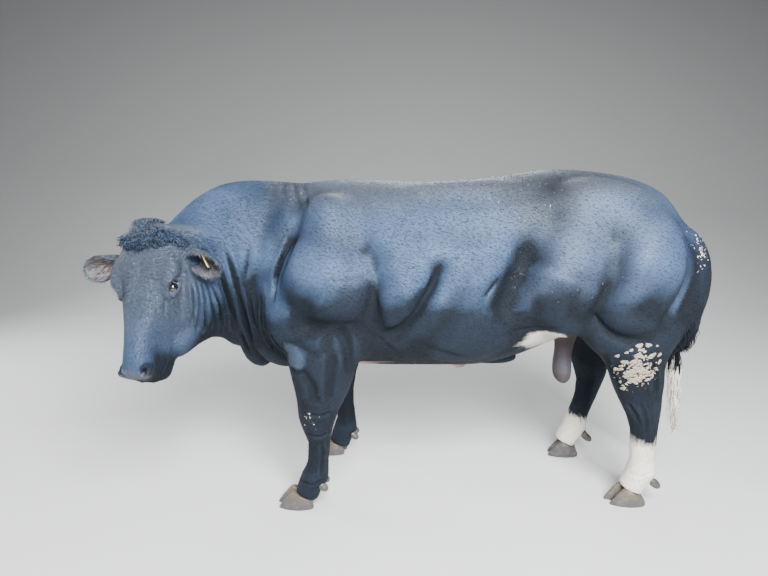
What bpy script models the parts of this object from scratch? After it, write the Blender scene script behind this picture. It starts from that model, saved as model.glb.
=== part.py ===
# A life-size still model of a Belgian Blue bull, standing, head lowered and turned to its left.
# Metres, +Z up. The bull faces -X, its left side is -Y, and the floor is Z = 0.
import math

import bmesh
import bpy
import numpy as np
from mathutils import Matrix, Vector
from mathutils.bvhtree import BVHTree

# Driving sizes of the animal.
WITHERS_Z = 1.375
BACK_Z = 1.39
HIP_Z = 1.445
CHEST_FLOOR_Z = 0.585
BELLY_Z = 0.575
CHEST_FRONT_X = -0.60
BUTTOCK_X = 1.385
CHEST_HALF_W = 0.37
LOIN_HALF_W = 0.30
FOOT_Y = 0.255
HIND_FOOT_Y = 0.232
HEAD_LENGTH = 0.545
GAP = 0.0003

# The head's own frame: its origin at the poll, turned towards the left and hung down.
HEAD_AT = Vector((-0.893, -0.402, 1.188))
HEAD_YAW = math.radians(84)
HEAD_DROP = math.radians(65.5)
HEAD_ROLL = math.radians(8.5)
HEAD_SWING = math.radians(1.2)
EYE_RADIUS = 0.0215
EYE_AT = (0.200, -0.058, 0.1030)
EAR_LENGTH = 0.180
EAR_AT = {1: (0.050, -0.104, 0.147), -1: (0.068, -0.105, 0.134)}

# Meshing.
BODY_VOXEL = 0.010
HEAD_VOXEL = 0.0042
BODY_TRIANGLES = 5050
HEAD_TRIANGLES = 2850
SIDES = (-1, 1)

for leftover in list(bpy.data.objects):
    bpy.data.objects.remove(leftover, do_unlink=True)


def link(name, bm):
    """A new object that takes a bmesh."""
    bmesh.ops.recalc_face_normals(bm, faces=bm.faces)
    mesh = bpy.data.meshes.new(name)
    bm.to_mesh(mesh)
    bm.free()
    obj = bpy.data.objects.new(name, mesh)
    bpy.context.scene.collection.objects.link(obj)
    return obj


def loft(name, rings):
    """A closed skin over rings that have the same number of points."""
    bm = bmesh.new()
    loops = [[bm.verts.new(p) for p in ring] for ring in rings]
    for near, far in zip(loops, loops[1:]):
        count = len(near)
        for i in range(count):
            j = (i + 1) % count
            bm.faces.new((near[i], near[j], far[j], far[i]))
    bm.faces.new(loops[0][::-1])
    bm.faces.new(loops[-1])
    return link(name, bm)


def eased(rows, steps):
    """Rows of sizes, with Catmull-Rom rows added between them."""
    rows = np.array(rows, float)
    padded = np.vstack([2 * rows[0] - rows[1], rows, 2 * rows[-1] - rows[-2]])
    out = []
    for i in range(1, len(rows)):
        a, b, c, d = padded[i - 1 : i + 3]
        for t in np.linspace(0, 1, steps, endpoint=False):
            out.append(0.5 * (2 * b + (c - a) * t + (2 * a - 5 * b + 4 * c - d) * t**2
                              + (3 * b - a - 3 * c + d) * t**3))
    out.append(rows[-1])
    return out


def power(value, exponent):
    return math.copysign(abs(value) ** exponent, value)


def oval(at, side, up, half_w, above, below, square_top=2.0, square_low=2.0, count=36):
    """Points of a rounded section: half_w to each side, and above and below its widest line."""
    ring = []
    for i in range(count):
        turn = 2 * math.pi * i / count
        c, s = math.cos(turn), math.sin(turn)
        square = square_top if s >= 0 else square_low
        rise = above if s >= 0 else below
        ring.append(at + side * (half_w * power(c, 2 / square)) + up * (rise * power(s, 2 / square)))
    return ring


def bulge(name, at, radii, turns=(0, 0, 0)):
    """A muscle or fat pad: an ellipsoid, turned about X, Y and Z in degrees."""
    bm = bmesh.new()
    bmesh.ops.create_icosphere(bm, subdivisions=4, radius=1)
    turn = Matrix.Identity(3)
    for axis, degrees in zip("XYZ", turns):
        turn = Matrix.Rotation(math.radians(degrees), 3, axis) @ turn
    for vert in bm.verts:
        vert.co = turn @ Vector(co * r for co, r in zip(vert.co, radii)) + Vector(at)
    return link(name, bm)


def head_axes():
    """Columns of the head's frame: along the face, out of the forehead, and to its left."""
    along = Vector((-1, 0, 0))
    out = Vector((0, 0, 1))
    left = Vector((0, -1, 0))
    drop = Matrix.Rotation(-HEAD_DROP, 3, "Y")
    yaw = Matrix.Rotation(HEAD_YAW, 3, "Z")
    along, out, left = (yaw @ (drop @ axis) for axis in (along, out, left))
    roll = Matrix.Rotation(HEAD_ROLL, 3, along)
    out, left = roll @ out, roll @ left
    c, s = math.cos(HEAD_SWING), math.sin(HEAD_SWING)
    return along * c + left * s, out, left * c - along * s


ALONG, OUT, LEFT = head_axes()


def on_head(along, out, left):
    """A point given in the head's frame."""
    return HEAD_AT + ALONG * along + OUT * out + LEFT * left


# Forms of the flesh.
def trunk():
    """Chest, barrel and rump as one loft along X."""
    rows = [
        # x, top, floor, half width, height of the widest line, squareness of top and floor
        (CHEST_FRONT_X, 1.18, 0.66, 0.12, 0.95, 2.0, 2.0),
        (-0.52, 1.335, 0.585, 0.240, 0.92, 2.1, 2.0),
        (-0.40, WITHERS_Z - 0.01, CHEST_FLOOR_Z - 0.01, 0.310, 0.90, 2.0, 2.1),
        (-0.22, BACK_Z, CHEST_FLOOR_Z - 0.005, 0.350, 0.92, 2.0, 2.2),
        (0.00, BACK_Z, CHEST_FLOOR_Z - 0.01, CHEST_HALF_W, 0.94, 2.15, 2.2),
        (0.22, BACK_Z - 0.01, BELLY_Z, CHEST_HALF_W, 0.93, 2.3, 2.2),
        (0.40, BACK_Z + 0.005, BELLY_Z, CHEST_HALF_W - 0.015, 0.92, 2.4, 2.2),
        (0.56, BACK_Z + 0.025, 0.605, LOIN_HALF_W + 0.03, 0.95, 2.4, 2.1),
        (0.72, HIP_Z - 0.010, 0.665, LOIN_HALF_W + 0.01, 1.0, 2.3, 2.0),
        (0.90, HIP_Z - 0.020, 0.735, LOIN_HALF_W + 0.01, 1.05, 2.2, 2.0),
        (1.06, BACK_Z + 0.008, 0.76, 0.29, 1.05, 2.1, 2.0),
        (1.20, 1.338, 0.80, 0.23, 1.03, 2.0, 2.0),
        (1.30, 1.215, 0.85, 0.12, 1.02, 2.0, 2.0),
    ]
    rings = []
    for x, top, floor, half_w, wide_z, square_top, square_low in eased(rows, 4):
        at = Vector((x, 0, wide_z))
        rings.append(oval(at, Vector((0, -1, 0)), Vector((0, 0, 1)), half_w,
                          top - wide_z, wide_z - floor, square_top, square_low, 64))
    return [loft("trunk", rings)]


def neck():
    """The neck bends to the left from the withers to the back of the head."""
    rows = [
        # x, y of the middle, top, floor, half width
        (-0.34, 0.00, 1.375, 0.64, 0.27),
        (-0.46, 0.00, 1.385, 0.61, 0.245),
        (-0.57, -0.045, 1.390, 0.640, 0.215),
        (-0.665, -0.12, 1.375, 0.700, 0.185),
        (-0.735, -0.21, 1.325, 0.735, 0.160),
        (-0.785, -0.30, 1.255, 0.745, 0.140),
        (-0.825, -0.385, 1.180, 0.790, 0.105),
    ]
    rows = eased(rows, 4)
    rings = []
    for i, (x, y, top, floor, half_w) in enumerate(rows):
        ahead = Vector(rows[min(i + 1, len(rows) - 1)][:2]) - Vector(rows[max(i - 1, 0)][:2])
        side = Vector((-ahead.y, ahead.x, 0)).normalized()
        middle = floor + 0.55 * (top - floor)
        rings.append(oval(Vector((x, y, middle)), side, Vector((0, 0, 1)), half_w,
                          top - middle, middle - floor, 1.9, 1.9, 48))
    return [loft("neck", rings)]


def head_pad(at, radii, name):
    """A mound laid on the head, in the head's frame."""
    obj = bulge(name, (0, 0, 0), radii)
    for vert in obj.data.vertices:
        along, out, left = vert.co
        vert.co = on_head(at[0] + along, at[1] + out, at[2] + left)
    return obj


def head():
    """Skull and jaw as one loft down the face, with brows, cheeks, nose and chin laid on."""
    rows = [
        # along, forehead line, throat line, half width of forehead and jaw
        (-0.055, -0.035, -0.17, 0.075, 0.060),
        (-0.015, 0.000, -0.23, 0.112, 0.080),
        (0.06, 0.012, -0.27, 0.136, 0.090),
        (0.14, 0.014, -0.290, 0.138, 0.095),
        (0.205, 0.008, -0.297, 0.125, 0.097),
        (0.27, 0.002, -0.295, 0.101, 0.092),
        (0.33, 0.000, -0.280, 0.079, 0.078),
        (0.39, 0.000, -0.268, 0.067, 0.066),
        (0.44, -0.004, -0.260, 0.062, 0.058),
        (0.485, -0.010, -0.245, 0.059, 0.055),
        (0.517, -0.030, -0.215, 0.051, 0.045),
        (HEAD_LENGTH - 0.005, -0.060, -0.160, 0.036, 0.030),
    ]
    rings = []
    for along, top, low, half_top, half_low in eased(rows, 4):
        middle = top + (low - top) * 0.42
        ring = []
        for i in range(40):
            turn = 2 * math.pi * i / 40
            c, s = math.cos(turn), math.sin(turn)
            square = 2.7 if s >= 0 else 2.1
            rise = (top - middle) if s >= 0 else (middle - low)
            height = power(s, 2 / square)
            half_w = half_top + (half_low - half_top) * (1 - height) / 2
            ring.append(on_head(along, middle + rise * height, half_w * power(c, 2 / square)))
        rings.append(ring)
    made = [loft("skull", rings)]
    made.append(head_pad((-0.005, -0.010, 0), (0.050, 0.042, 0.095), "poll"))
    made.append(head_pad((0.497, -0.052, 0), (0.042, 0.042, 0.052), "muzzle_pad"))
    made.append(head_pad((0.484, -0.190, 0), (0.046, 0.044, 0.048), "chin_pad"))
    for side in SIDES:
        made.append(head_pad((0.150, -0.034, side * 0.104), (0.082, 0.036, 0.038), "brow"))
        made.append(head_pad((0.080, -0.100, side * 0.100), (0.070, 0.080, 0.048), "temple"))
        made.append(head_pad((0.235, -0.190, side * 0.068), (0.125, 0.105, 0.038), "cheek"))
        made.append(head_pad((0.508, -0.058, side * 0.040), (0.030, 0.034, 0.028), "nostril_wing"))
        made.append(eye_shape("orbit", side, (EYE_RADIUS + 0.016, EYE_RADIUS + 0.009, EYE_RADIUS + 0.0055)))
        made.append(head_pad((0.450, -0.118, side * 0.040), (0.062, 0.046, 0.027), "lip_pad"))
    return made


def eye_frame(side):
    """Where an eye looks, and the directions ahead along its slit and up across it."""
    gaze = (LEFT * (side * 0.88) + OUT * 0.42 - ALONG * 0.05).normalized()
    ahead = (ALONG * 0.80 + OUT * 0.60)
    ahead = (ahead - gaze * gaze.dot(ahead)).normalized()
    up = gaze.cross(ahead)
    if up.dot(OUT - ALONG) < 0:
        up = -up
    return gaze, ahead, up


def eye_shape(name, side, radii, out_by=0.0, level=4):
    """An ellipsoid about the eye: its reach ahead, up and along the gaze."""
    gaze, ahead, up = eye_frame(side)
    centre = on_head(EYE_AT[0], EYE_AT[1], side * EYE_AT[2]) + gaze * out_by
    bm = bmesh.new()
    bmesh.ops.create_icosphere(bm, subdivisions=level, radius=1)
    for vert in bm.verts:
        a, b, c = vert.co
        vert.co = centre + ahead * (a * radii[0]) + up * (b * radii[1]) + gaze * (c * radii[2])
    return link(name, bm)


def throat():
    """Loose skin under the jaw, and the dewlap down to the breast."""
    skin = [on_head(0.445, -0.190, 0), on_head(0.400, -0.215, 0), Vector((-0.815, -0.370, 0.765)),
            Vector((-0.770, -0.300, 0.805)), Vector((-0.700, -0.200, 0.830))]
    return [tube("throat", blend(skin, 4), np.interp(range(17), [0, 4, 8, 12, 16], [0.045, 0.055, 0.068, 0.075, 0.08]), 20),
            bulge("dewlap", (-0.570, -0.045, 0.675), (0.085, 0.055, 0.125), (0, -14, 0)),
            bulge("dewlap_low", (-0.620, -0.100, 0.745), (0.090, 0.055, 0.080), (0, -24, 20))]


def leg_rings(rows, side, stance):
    """Rings of a leg from rows of height, x, distance from the middle, half length, half width."""
    heights, moves = zip(*stance)
    rings = []
    for z, x, y, half_l, half_w in eased(rows, 3):
        moved = float(np.interp(z, heights, moves))
        rings.append(oval(Vector((x + moved, side * y, z)), Vector((1, 0, 0)), Vector((0, 1, 0)),
                          half_l, half_w, half_w, 2.1, 2.1, 28))
    return rings


FORE_ROWS = [
    # height, x, distance from the middle, half length, half width
    (0.030, -0.337, FOOT_Y, 0.056, 0.056),
    (0.075, -0.325, FOOT_Y, 0.057, 0.056),
    (0.115, -0.303, FOOT_Y, 0.064, 0.060),
    (0.150, -0.295, FOOT_Y, 0.061, 0.058),
    (0.190, -0.284, FOOT_Y, 0.050, 0.048),
    (0.240, -0.278, FOOT_Y, 0.048, 0.045),
    (0.295, -0.275, FOOT_Y, 0.050, 0.048),
    (0.345, -0.280, FOOT_Y, 0.064, 0.061),
    (0.395, -0.281, FOOT_Y, 0.080, 0.071),
    (0.440, -0.275, FOOT_Y + 0.005, 0.090, 0.075),
    (0.490, -0.264, FOOT_Y + 0.010, 0.103, 0.083),
    (0.560, -0.255, FOOT_Y + 0.015, 0.124, 0.097),
    (0.640, -0.252, FOOT_Y + 0.015, 0.145, 0.108),
    (0.720, -0.245, FOOT_Y + 0.005, 0.160, 0.110),
    (0.800, -0.230, FOOT_Y - 0.015, 0.160, 0.100),
]
HIND_ROWS = [
    (0.030, 1.056, HIND_FOOT_Y, 0.050, 0.054),
    (0.075, 1.075, HIND_FOOT_Y, 0.055, 0.056),
    (0.115, 1.100, HIND_FOOT_Y, 0.064, 0.060),
    (0.150, 1.113, HIND_FOOT_Y, 0.063, 0.058),
    (0.200, 1.114, HIND_FOOT_Y + 0.002, 0.056, 0.047),
    (0.260, 1.110, HIND_FOOT_Y + 0.006, 0.055, 0.046),
    (0.330, 1.107, HIND_FOOT_Y + 0.010, 0.058, 0.050),
    (0.395, 1.098, HIND_FOOT_Y + 0.015, 0.069, 0.056),
    (0.450, 1.084, HIND_FOOT_Y + 0.018, 0.085, 0.062),
    (0.500, 1.070, HIND_FOOT_Y + 0.020, 0.096, 0.062),
    (0.545, 1.060, HIND_FOOT_Y + 0.025, 0.110, 0.066),
    (0.600, 1.046, HIND_FOOT_Y + 0.030, 0.117, 0.080),
    (0.655, 1.030, HIND_FOOT_Y + 0.030, 0.130, 0.100),
    (0.710, 1.015, HIND_FOOT_Y + 0.025, 0.175, 0.120),
    (0.780, 1.010, HIND_FOOT_Y + 0.015, 0.225, 0.140),
    (0.860, 1.010, HIND_FOOT_Y - 0.015, 0.240, 0.140),
]
# Where each leg stands: pairs of height and the x that it is moved by from the left leg's own.
FORE_STANCE = {-1: [(0.0, 0.0), (0.8, 0.0)],
               1: [(0.0, 0.105), (0.15, 0.098), (0.30, 0.07), (0.40, 0.055), (0.70, 0.01)]}
HIND_STANCE = {-1: [(0.0, 0.0), (0.9, 0.0)],
               1: [(0.0, -0.138), (0.12, -0.148), (0.20, -0.132), (0.30, -0.088), (0.42, -0.045),
                   (0.60, -0.012), (0.70, 0.0)]}


def legs():
    made = []
    for side in SIDES:
        made.append(loft("fore_leg", leg_rings(FORE_ROWS, side, FORE_STANCE[side])))
        made.append(loft("hind_leg", leg_rings(HIND_ROWS, side, HIND_STANCE[side])))
    return made


def muscles():
    """The double muscling, one ellipsoid for each rounded mass, the same on both sides."""
    made = []
    for side in SIDES:

        def pad(name, x, y, z, rx, ry, rz, lean=0, roll=0):
            made.append(bulge(name, (x, side * y, z), (rx, ry, rz), (-side * roll, lean, 0)))

        pad("blade", -0.250, 0.190, 1.10, 0.165, 0.130, 0.250, 12, 14)
        pad("shoulder", -0.245, 0.255, 0.985, 0.195, 0.140, 0.215, 6, 4)
        pad("triceps", -0.175, 0.290, 0.905, 0.165, 0.112, 0.125, -10)
        pad("shoulder_point", -0.375, 0.255, 0.83, 0.110, 0.100, 0.150, 6)
        pad("elbow", -0.130, 0.270, 0.735, 0.080, 0.075, 0.090)
        pad("breast", -0.43, 0.110, 0.68, 0.135, 0.110, 0.100, 12)
        pad("broad_back", 0.050, 0.255, 0.965, 0.195, 0.130, 0.215, 24)
        pad("rib_low", 0.28, 0.245, 0.86, 0.30, 0.120, 0.22, 8)
        pad("loin", 0.30, 0.120, 1.275, 0.56, 0.125, 0.115, -3)
        pad("rump", 0.92, 0.165, 1.235, 0.28, 0.170, 0.155, 14)
        pad("thigh_front", 0.745, 0.255, 1.02, 0.165, 0.125, 0.260, 16)
        pad("stifle", 0.745, 0.265, 0.86, 0.105, 0.085, 0.120, 30)
        pad("thigh_side", 1.015, 0.265, 1.02, 0.205, 0.160, 0.260, 6)
        pad("thigh_low", 0.990, 0.275, 0.845, 0.165, 0.130, 0.110)
        pad("buttock", 1.225, 0.150, 0.955, 0.145, 0.140, 0.250, 4)
        pad("buttock_low", 1.200, 0.185, 0.80, 0.130, 0.105, 0.130, 14)
        pad("pin", 1.195, 0.095, 1.165, 0.095, 0.080, 0.090)
    return made


def sheath():
    """The sheath runs forward under the belly."""
    return [bulge("sheath", (0.45, 0, 0.603), (0.170, 0.052, 0.045), (0, 6, 0)),
            bulge("sheath_tip", (0.345, 0, 0.563), (0.040, 0.028, 0.032))]


# Tools that act on meshes.
def only(*objs):
    """Selects these objects, the first of them active."""
    bpy.ops.object.select_all(action="DESELECT")
    for obj in objs:
        obj.select_set(True)
    bpy.context.view_layer.objects.active = objs[0]


def apply_modifier(obj, kind, **settings):
    modifier = obj.modifiers.new(kind.lower(), kind)
    for key, value in settings.items():
        setattr(modifier, key, value)
    only(obj)
    bpy.ops.object.modifier_apply(modifier=modifier.name)


def remeshed(name, forms, voxel, smoothing, soft=None):
    """The forms as one closed, softened surface. soft gives each point's share of the softening."""
    only(*forms)
    bpy.ops.object.join()
    obj = bpy.context.view_layer.objects.active
    obj.name = name
    apply_modifier(obj, "REMESH", mode="VOXEL", voxel_size=voxel)
    if soft:
        group = obj.vertex_groups.new(name="soft")
        for vert in obj.data.vertices:
            group.add([vert.index], soft(vert.co), "REPLACE")
    apply_modifier(obj, "SMOOTH", factor=0.6, iterations=smoothing, vertex_group="soft" if soft else "")
    return obj


def body_softness(at):
    """The trunk is softened most, the legs and the head least."""
    if (at - on_head(0.25, -0.1, 0)).length < 0.34:
        return 0.2
    return float(np.interp(at.z, [0.55, 0.85], [0.15, 1.0]))


def thinned(obj, triangles, spare=None, strength=0.0):
    """The surface with its triangles cut down to about this many. spare tells how much a point is kept."""
    apply_modifier(obj, "TRIANGULATE")
    count = len(obj.data.polygons)
    if spare:
        group = obj.vertex_groups.new(name="thin")
        for vert in obj.data.vertices:
            group.add([vert.index], 1.0 - spare(vert.co), "REPLACE")
    apply_modifier(obj, "DECIMATE", ratio=min(1.0, triangles / count), use_collapse_triangulate=True,
                   vertex_group="thin" if spare else "", vertex_group_factor=strength)
    bm = bmesh.new()
    bm.from_mesh(obj.data)
    bmesh.ops.dissolve_degenerate(bm, edges=bm.edges, dist=1e-5)
    bm.to_mesh(obj.data)
    bm.free()
    return obj


def cube(name, low, high):
    """An upright box from its low corner to its high corner."""
    bm = bmesh.new()
    bmesh.ops.create_cube(bm, size=1)
    low, high = Vector(low), Vector(high)
    for vert in bm.verts:
        vert.co = Vector(a + (b - a) * (c + 0.5) for a, b, c in zip(low, high, vert.co))
    return link(name, bm)


def slab(name, centre, normal, across, size, thick=GAP):
    """A thin plate that parts a body: its middle, its normal, one edge direction and its sizes."""
    normal = Vector(normal).normalized()
    across = (Vector(across) - normal * normal.dot(Vector(across))).normalized()
    other = normal.cross(across)
    obj = cube(name, (-0.5, -0.5, -0.5), (0.5, 0.5, 0.5))
    for vert in obj.data.vertices:
        a, b, c = vert.co
        vert.co = Vector(centre) + across * (a * size[0]) + other * (b * size[1]) + normal * (c * thick)
    return obj


def boolean(obj, tool, operation, keep_tool=False):
    """Applies a Boolean and removes the tool."""
    apply_modifier(obj, "BOOLEAN", operation=operation, object=tool, solver="EXACT")
    if not keep_tool:
        bpy.data.objects.remove(tool, do_unlink=True)
    return obj


def closed_parts(obj):
    """The object's separate closed surfaces as bmeshes, the largest first."""
    bm = bmesh.new()
    bm.from_mesh(obj.data)
    bmesh.ops.remove_doubles(bm, verts=bm.verts, dist=2e-6)
    bmesh.ops.dissolve_degenerate(bm, edges=bm.edges, dist=2e-6)
    bm.faces.ensure_lookup_table()
    seen = set()
    groups = []
    for face in bm.faces:
        if face.index in seen:
            continue
        seen.add(face.index)
        group = []
        stack = [face]
        while stack:
            here = stack.pop()
            group.append(here.index)
            for edge in here.edges:
                for other in edge.link_faces:
                    if other.index not in seen:
                        seen.add(other.index)
                        stack.append(other)
        groups.append(group)
    groups.sort(key=len, reverse=True)
    parts = []
    for group in groups:
        part = bm.copy()
        part.faces.ensure_lookup_table()
        wanted = set(group)
        spare = [face for face in part.faces if face.index not in wanted]
        bmesh.ops.delete(part, geom=spare, context="FACES")
        bmesh.ops.delete(part, geom=[v for v in part.verts if not v.link_faces], context="VERTS")
        parts.append(part)
    bm.free()
    return parts


def parted(obj, least=1e-6):
    """Splits an object into its closed bodies, dropping slivers."""
    made = []
    for i, part in enumerate(closed_parts(obj)):
        if part.calc_volume(signed=True) > least:
            made.append(link(f"{obj.name}_{i}", part))
        else:
            part.free()
    bpy.data.objects.remove(obj, do_unlink=True)
    return made


def largest(obj):
    """Keeps only the object's largest closed surface."""
    parts = closed_parts(obj)
    parts[0].to_mesh(obj.data)
    for part in parts:
        part.free()
    return obj


def grown(obj, distance, name="grown"):
    """A copy of a closed body, swollen along its normals."""
    bm = bmesh.new()
    bm.from_mesh(obj.data)
    bm.normal_update()
    moves = [(v, v.normal.copy() * v.calc_shell_factor()) for v in bm.verts]
    for vert, move in moves:
        vert.co = vert.co + move * distance
    return link(name, bm)


def middle_of(obj):
    points = [v.co for v in obj.data.vertices]
    return sum(points, Vector()) / len(points)


def blend(points, steps):
    """A smooth line through a few points."""
    return [Vector(row) for row in eased(points, steps)]


def tube(name, points, radii, sides=12):
    """A tapered tube along points."""
    rings = []
    side = Vector((0, 1, 0))
    for i, (point, radius) in enumerate(zip(points, radii)):
        ahead = (points[min(i + 1, len(points) - 1)] - points[max(i - 1, 0)]).normalized()
        side = (side - ahead * ahead.dot(side)).normalized()
        other = ahead.cross(side)
        rings.append([point + side * (radius * math.cos(2 * math.pi * k / sides))
                      + other * (radius * math.sin(2 * math.pi * k / sides)) for k in range(sides)])
    return loft(name, rings)


def near_side_line(body, line, side, steps=6):
    """Carries a line drawn in the side view, as x and z, onto the body's surface on one side."""
    tree = BVHTree.FromObject(body, bpy.context.evaluated_depsgraph_get())
    points = []
    for x, z in eased(line, steps):
        hit = tree.ray_cast(Vector((x, side * 1.5, z)), Vector((0, -side, 0)))[0]
        if hit:
            points.append(hit)
    return points


def carve(body, points, width, depth, ridge=0.3):
    """Presses a groove along points into the surface, with soft banks. Tapers out at both ends."""
    mesh = body.data
    count = len(mesh.vertices)
    at = np.empty(count * 3)
    mesh.vertices.foreach_get("co", at)
    at = at.reshape(-1, 3)
    normals = np.empty(count * 3)
    mesh.vertices.foreach_get("normal", normals)
    normals = normals.reshape(-1, 3)
    line = np.array([p[:] for p in points])
    low, high = line.min(axis=0) - 4 * width, line.max(axis=0) + 4 * width
    near = np.where(((at > low) & (at < high)).all(axis=1))[0]
    best = np.full(len(near), 1e9)
    share = np.zeros(len(near))
    for i, (a, b) in enumerate(zip(line, line[1:])):
        along = b - a
        t = np.clip(((at[near] - a) @ along) / (along @ along + 1e-12), 0, 1)
        gap = np.linalg.norm(at[near] - (a + t[:, None] * along), axis=1)
        closer = gap < best
        best[closer] = gap[closer]
        share[closer] = ((i + t) / (len(line) - 1))[closer]
    fade = np.clip(np.minimum(share, 1 - share) / 0.18, 0, 1)
    fade = fade * fade * (3 - 2 * fade)
    move = -depth * np.exp(-(best / width) ** 2) + ridge * depth * np.exp(-((best - 2.1 * width) / width) ** 2)
    at[near] += normals[near] * (move * fade)[:, None]
    mesh.vertices.foreach_set("co", at.ravel())
    mesh.update()


def swell(body, centre, radii, height, axes=None):
    """Raises a soft mound on the surface, or a hollow where height is negative."""
    mesh = body.data
    count = len(mesh.vertices)
    at = np.empty(count * 3)
    mesh.vertices.foreach_get("co", at)
    at = at.reshape(-1, 3)
    normals = np.empty(count * 3)
    mesh.vertices.foreach_get("normal", normals)
    normals = normals.reshape(-1, 3)
    frame = np.array([a[:] for a in axes]) if axes else np.eye(3)
    local = (at - np.array(centre[:])) @ frame.T / np.array(radii)
    amount = np.exp(-(local ** 2).sum(axis=1))
    at += normals * (height * amount)[:, None]
    mesh.vertices.foreach_set("co", at.ravel())
    mesh.update()


# The clefts between the muscles, drawn in the side view as x and z, with width and depth.
CLEFTS = [
    ([(-0.335, 1.345), (-0.340, 1.260), (-0.363, 1.175), (-0.395, 1.097), (-0.430, 1.010), (-0.465, 0.920)],
     0.034, 0.030),
    ([(-0.420, 0.785), (-0.307, 0.820), (-0.216, 0.830), (-0.138, 0.822), (-0.060, 0.790)], 0.030, 0.015),
    ([(-0.130, 1.180), (-0.066, 1.120), (-0.030, 1.039), (-0.024, 0.961), (-0.045, 0.883), (-0.090, 0.805)],
     0.040, 0.022),
    ([(0.235, 1.105), (0.200, 1.007), (0.158, 0.942), (0.113, 0.870), (0.043, 0.803), (-0.060, 0.775)],
     0.034, 0.034),
    ([(0.590, 1.200), (0.548, 1.065), (0.521, 0.987), (0.486, 0.902), (0.445, 0.815)], 0.052, 0.036),
    ([(0.915, 1.230), (0.894, 1.077), (0.879, 0.987), (0.835, 0.870)], 0.040, 0.024),
    ([(1.160, 1.190), (1.184, 1.123), (1.186, 1.032), (1.157, 0.946), (1.111, 0.872), (1.070, 0.790)],
     0.030, 0.030),
    ([(0.790, 0.930), (0.835, 0.863), (0.885, 0.803), (0.953, 0.772), (1.060, 0.760)], 0.028, 0.020),
    ([(0.455, 1.015), (0.420, 0.968), (0.380, 0.920)], 0.014, 0.008),
]
# Soft mounds and hollows: x, height, their reach along x and z, and how far they rise.
MOUNDS = [
    (-0.235, 0.985, 0.120, 0.110, 0.020),
    (0.060, 0.950, 0.110, 0.110, 0.018),
    (0.300, 1.020, 0.120, 0.140, 0.012),
    (0.640, 1.290, 0.090, 0.060, 0.020),
    (0.730, 1.040, 0.130, 0.150, 0.014),
    (1.030, 1.060, 0.120, 0.170, 0.012),
    (0.300, 1.190, 0.200, 0.050, -0.016),
    (0.800, 1.200, 0.100, 0.070, -0.010),
]


def face_line(line, steps=5):
    """A line given in the head's frame."""
    return [on_head(*row) for row in eased(line, steps)]


def sculpt_face(skull):
    """Brows, lids, nose, nostrils, lips and cheeks, worked into the skull's surface."""
    axes = (ALONG, OUT, LEFT)
    # The nose: a flat bridge, a swell above the nostrils and a dip between them.
    swell(skull, on_head(0.40, 0.0, 0), (0.09, 0.03, 0.030), 0.006, axes)
    swell(skull, on_head(0.515, -0.035, 0), (0.020, 0.030, 0.022), -0.006, axes)
    for side in SIDES:
        # The forehead rises to a ridge on each side, with a hollow inside the eye.
        swell(skull, on_head(0.230, 0.0, side * 0.075), (0.050, 0.05, 0.022), -0.012, axes)
        swell(skull, on_head(0.150, -0.115, side * 0.130), (0.040, 0.03, 0.05), -0.008, axes)
        # The cheek swells below the eye, and the nose is pinched in front of it.
        swell(skull, on_head(0.290, -0.115, side * 0.092), (0.060, 0.040, 0.04), 0.006, axes)
        swell(skull, on_head(0.400, -0.055, side * 0.070), (0.040, 0.045, 0.04), -0.005, axes)
        # The back edge of the jaw's great muscle.
        carve(skull, face_line([(0.120, -0.165, side * 0.110), (0.200, -0.255, side * 0.100),
                                (0.285, -0.285, side * 0.075), (0.340, -0.270, side * 0.072)]), 0.016, 0.003, 0.2)
        # The mouth: from under the pad of the nose back along the side, with the lips full on both sides.
        carve(skull, face_line([(0.530, -0.118, side * 0.004), (0.522, -0.122, side * 0.030),
                                (0.495, -0.126, side * 0.056), (0.455, -0.132, side * 0.068),
                                (0.415, -0.140, side * 0.070), (0.385, -0.146, side * 0.070)]), 0.0055, 0.0075, 0.40)
        # A groove for tears runs down from the front corner of the eye.
        gaze, ahead, up = eye_frame(side)
        corner = on_head(EYE_AT[0], EYE_AT[1], side * EYE_AT[2]) + gaze * (EYE_RADIUS * 0.8) + ahead * 0.030
        carve(skull, blend([corner, corner + ahead * 0.016 - up * 0.010, corner + ahead * 0.030 - up * 0.026], 4),
              0.006, 0.004, 0.2)


def face_detail(at):
    """One at the eyes, nostrils and lips, falling to nothing away from them."""
    spots = [((EYE_AT[0], EYE_AT[1], EYE_AT[2]), 0.036), ((0.510, -0.055, 0.05), 0.032), ((0.48, -0.13, 0.055), 0.035)]
    best = 0.0
    for (along, out, left), reach in spots:
        for side in SIDES:
            gap = (at - on_head(along, out, side * left)).length
            best = max(best, 1 - gap / (2 * reach))
    return max(0.0, best)


# The flesh, whole, and the head again at a finer grain.
flesh = remeshed("flesh", trunk() + neck() + throat() + head() + legs() + muscles() + sheath(), BODY_VOXEL, 34,
                 body_softness)
for side in SIDES:
    for line, width, depth in CLEFTS:
        carve(flesh, near_side_line(flesh, line, side), width, depth, 0.12)
    for x, z, reach_x, reach_z, height in MOUNDS:
        swell(flesh, (x, side * 0.36, z), (reach_x, 0.2, reach_z), height)
apply_modifier(flesh, "SMOOTH", factor=0.6, iterations=5, vertex_group="soft")
thinned(flesh, BODY_TRIANGLES)
skull = remeshed("skull", neck() + throat() + head(), HEAD_VOXEL, 14)
sculpt_face(skull)

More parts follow.
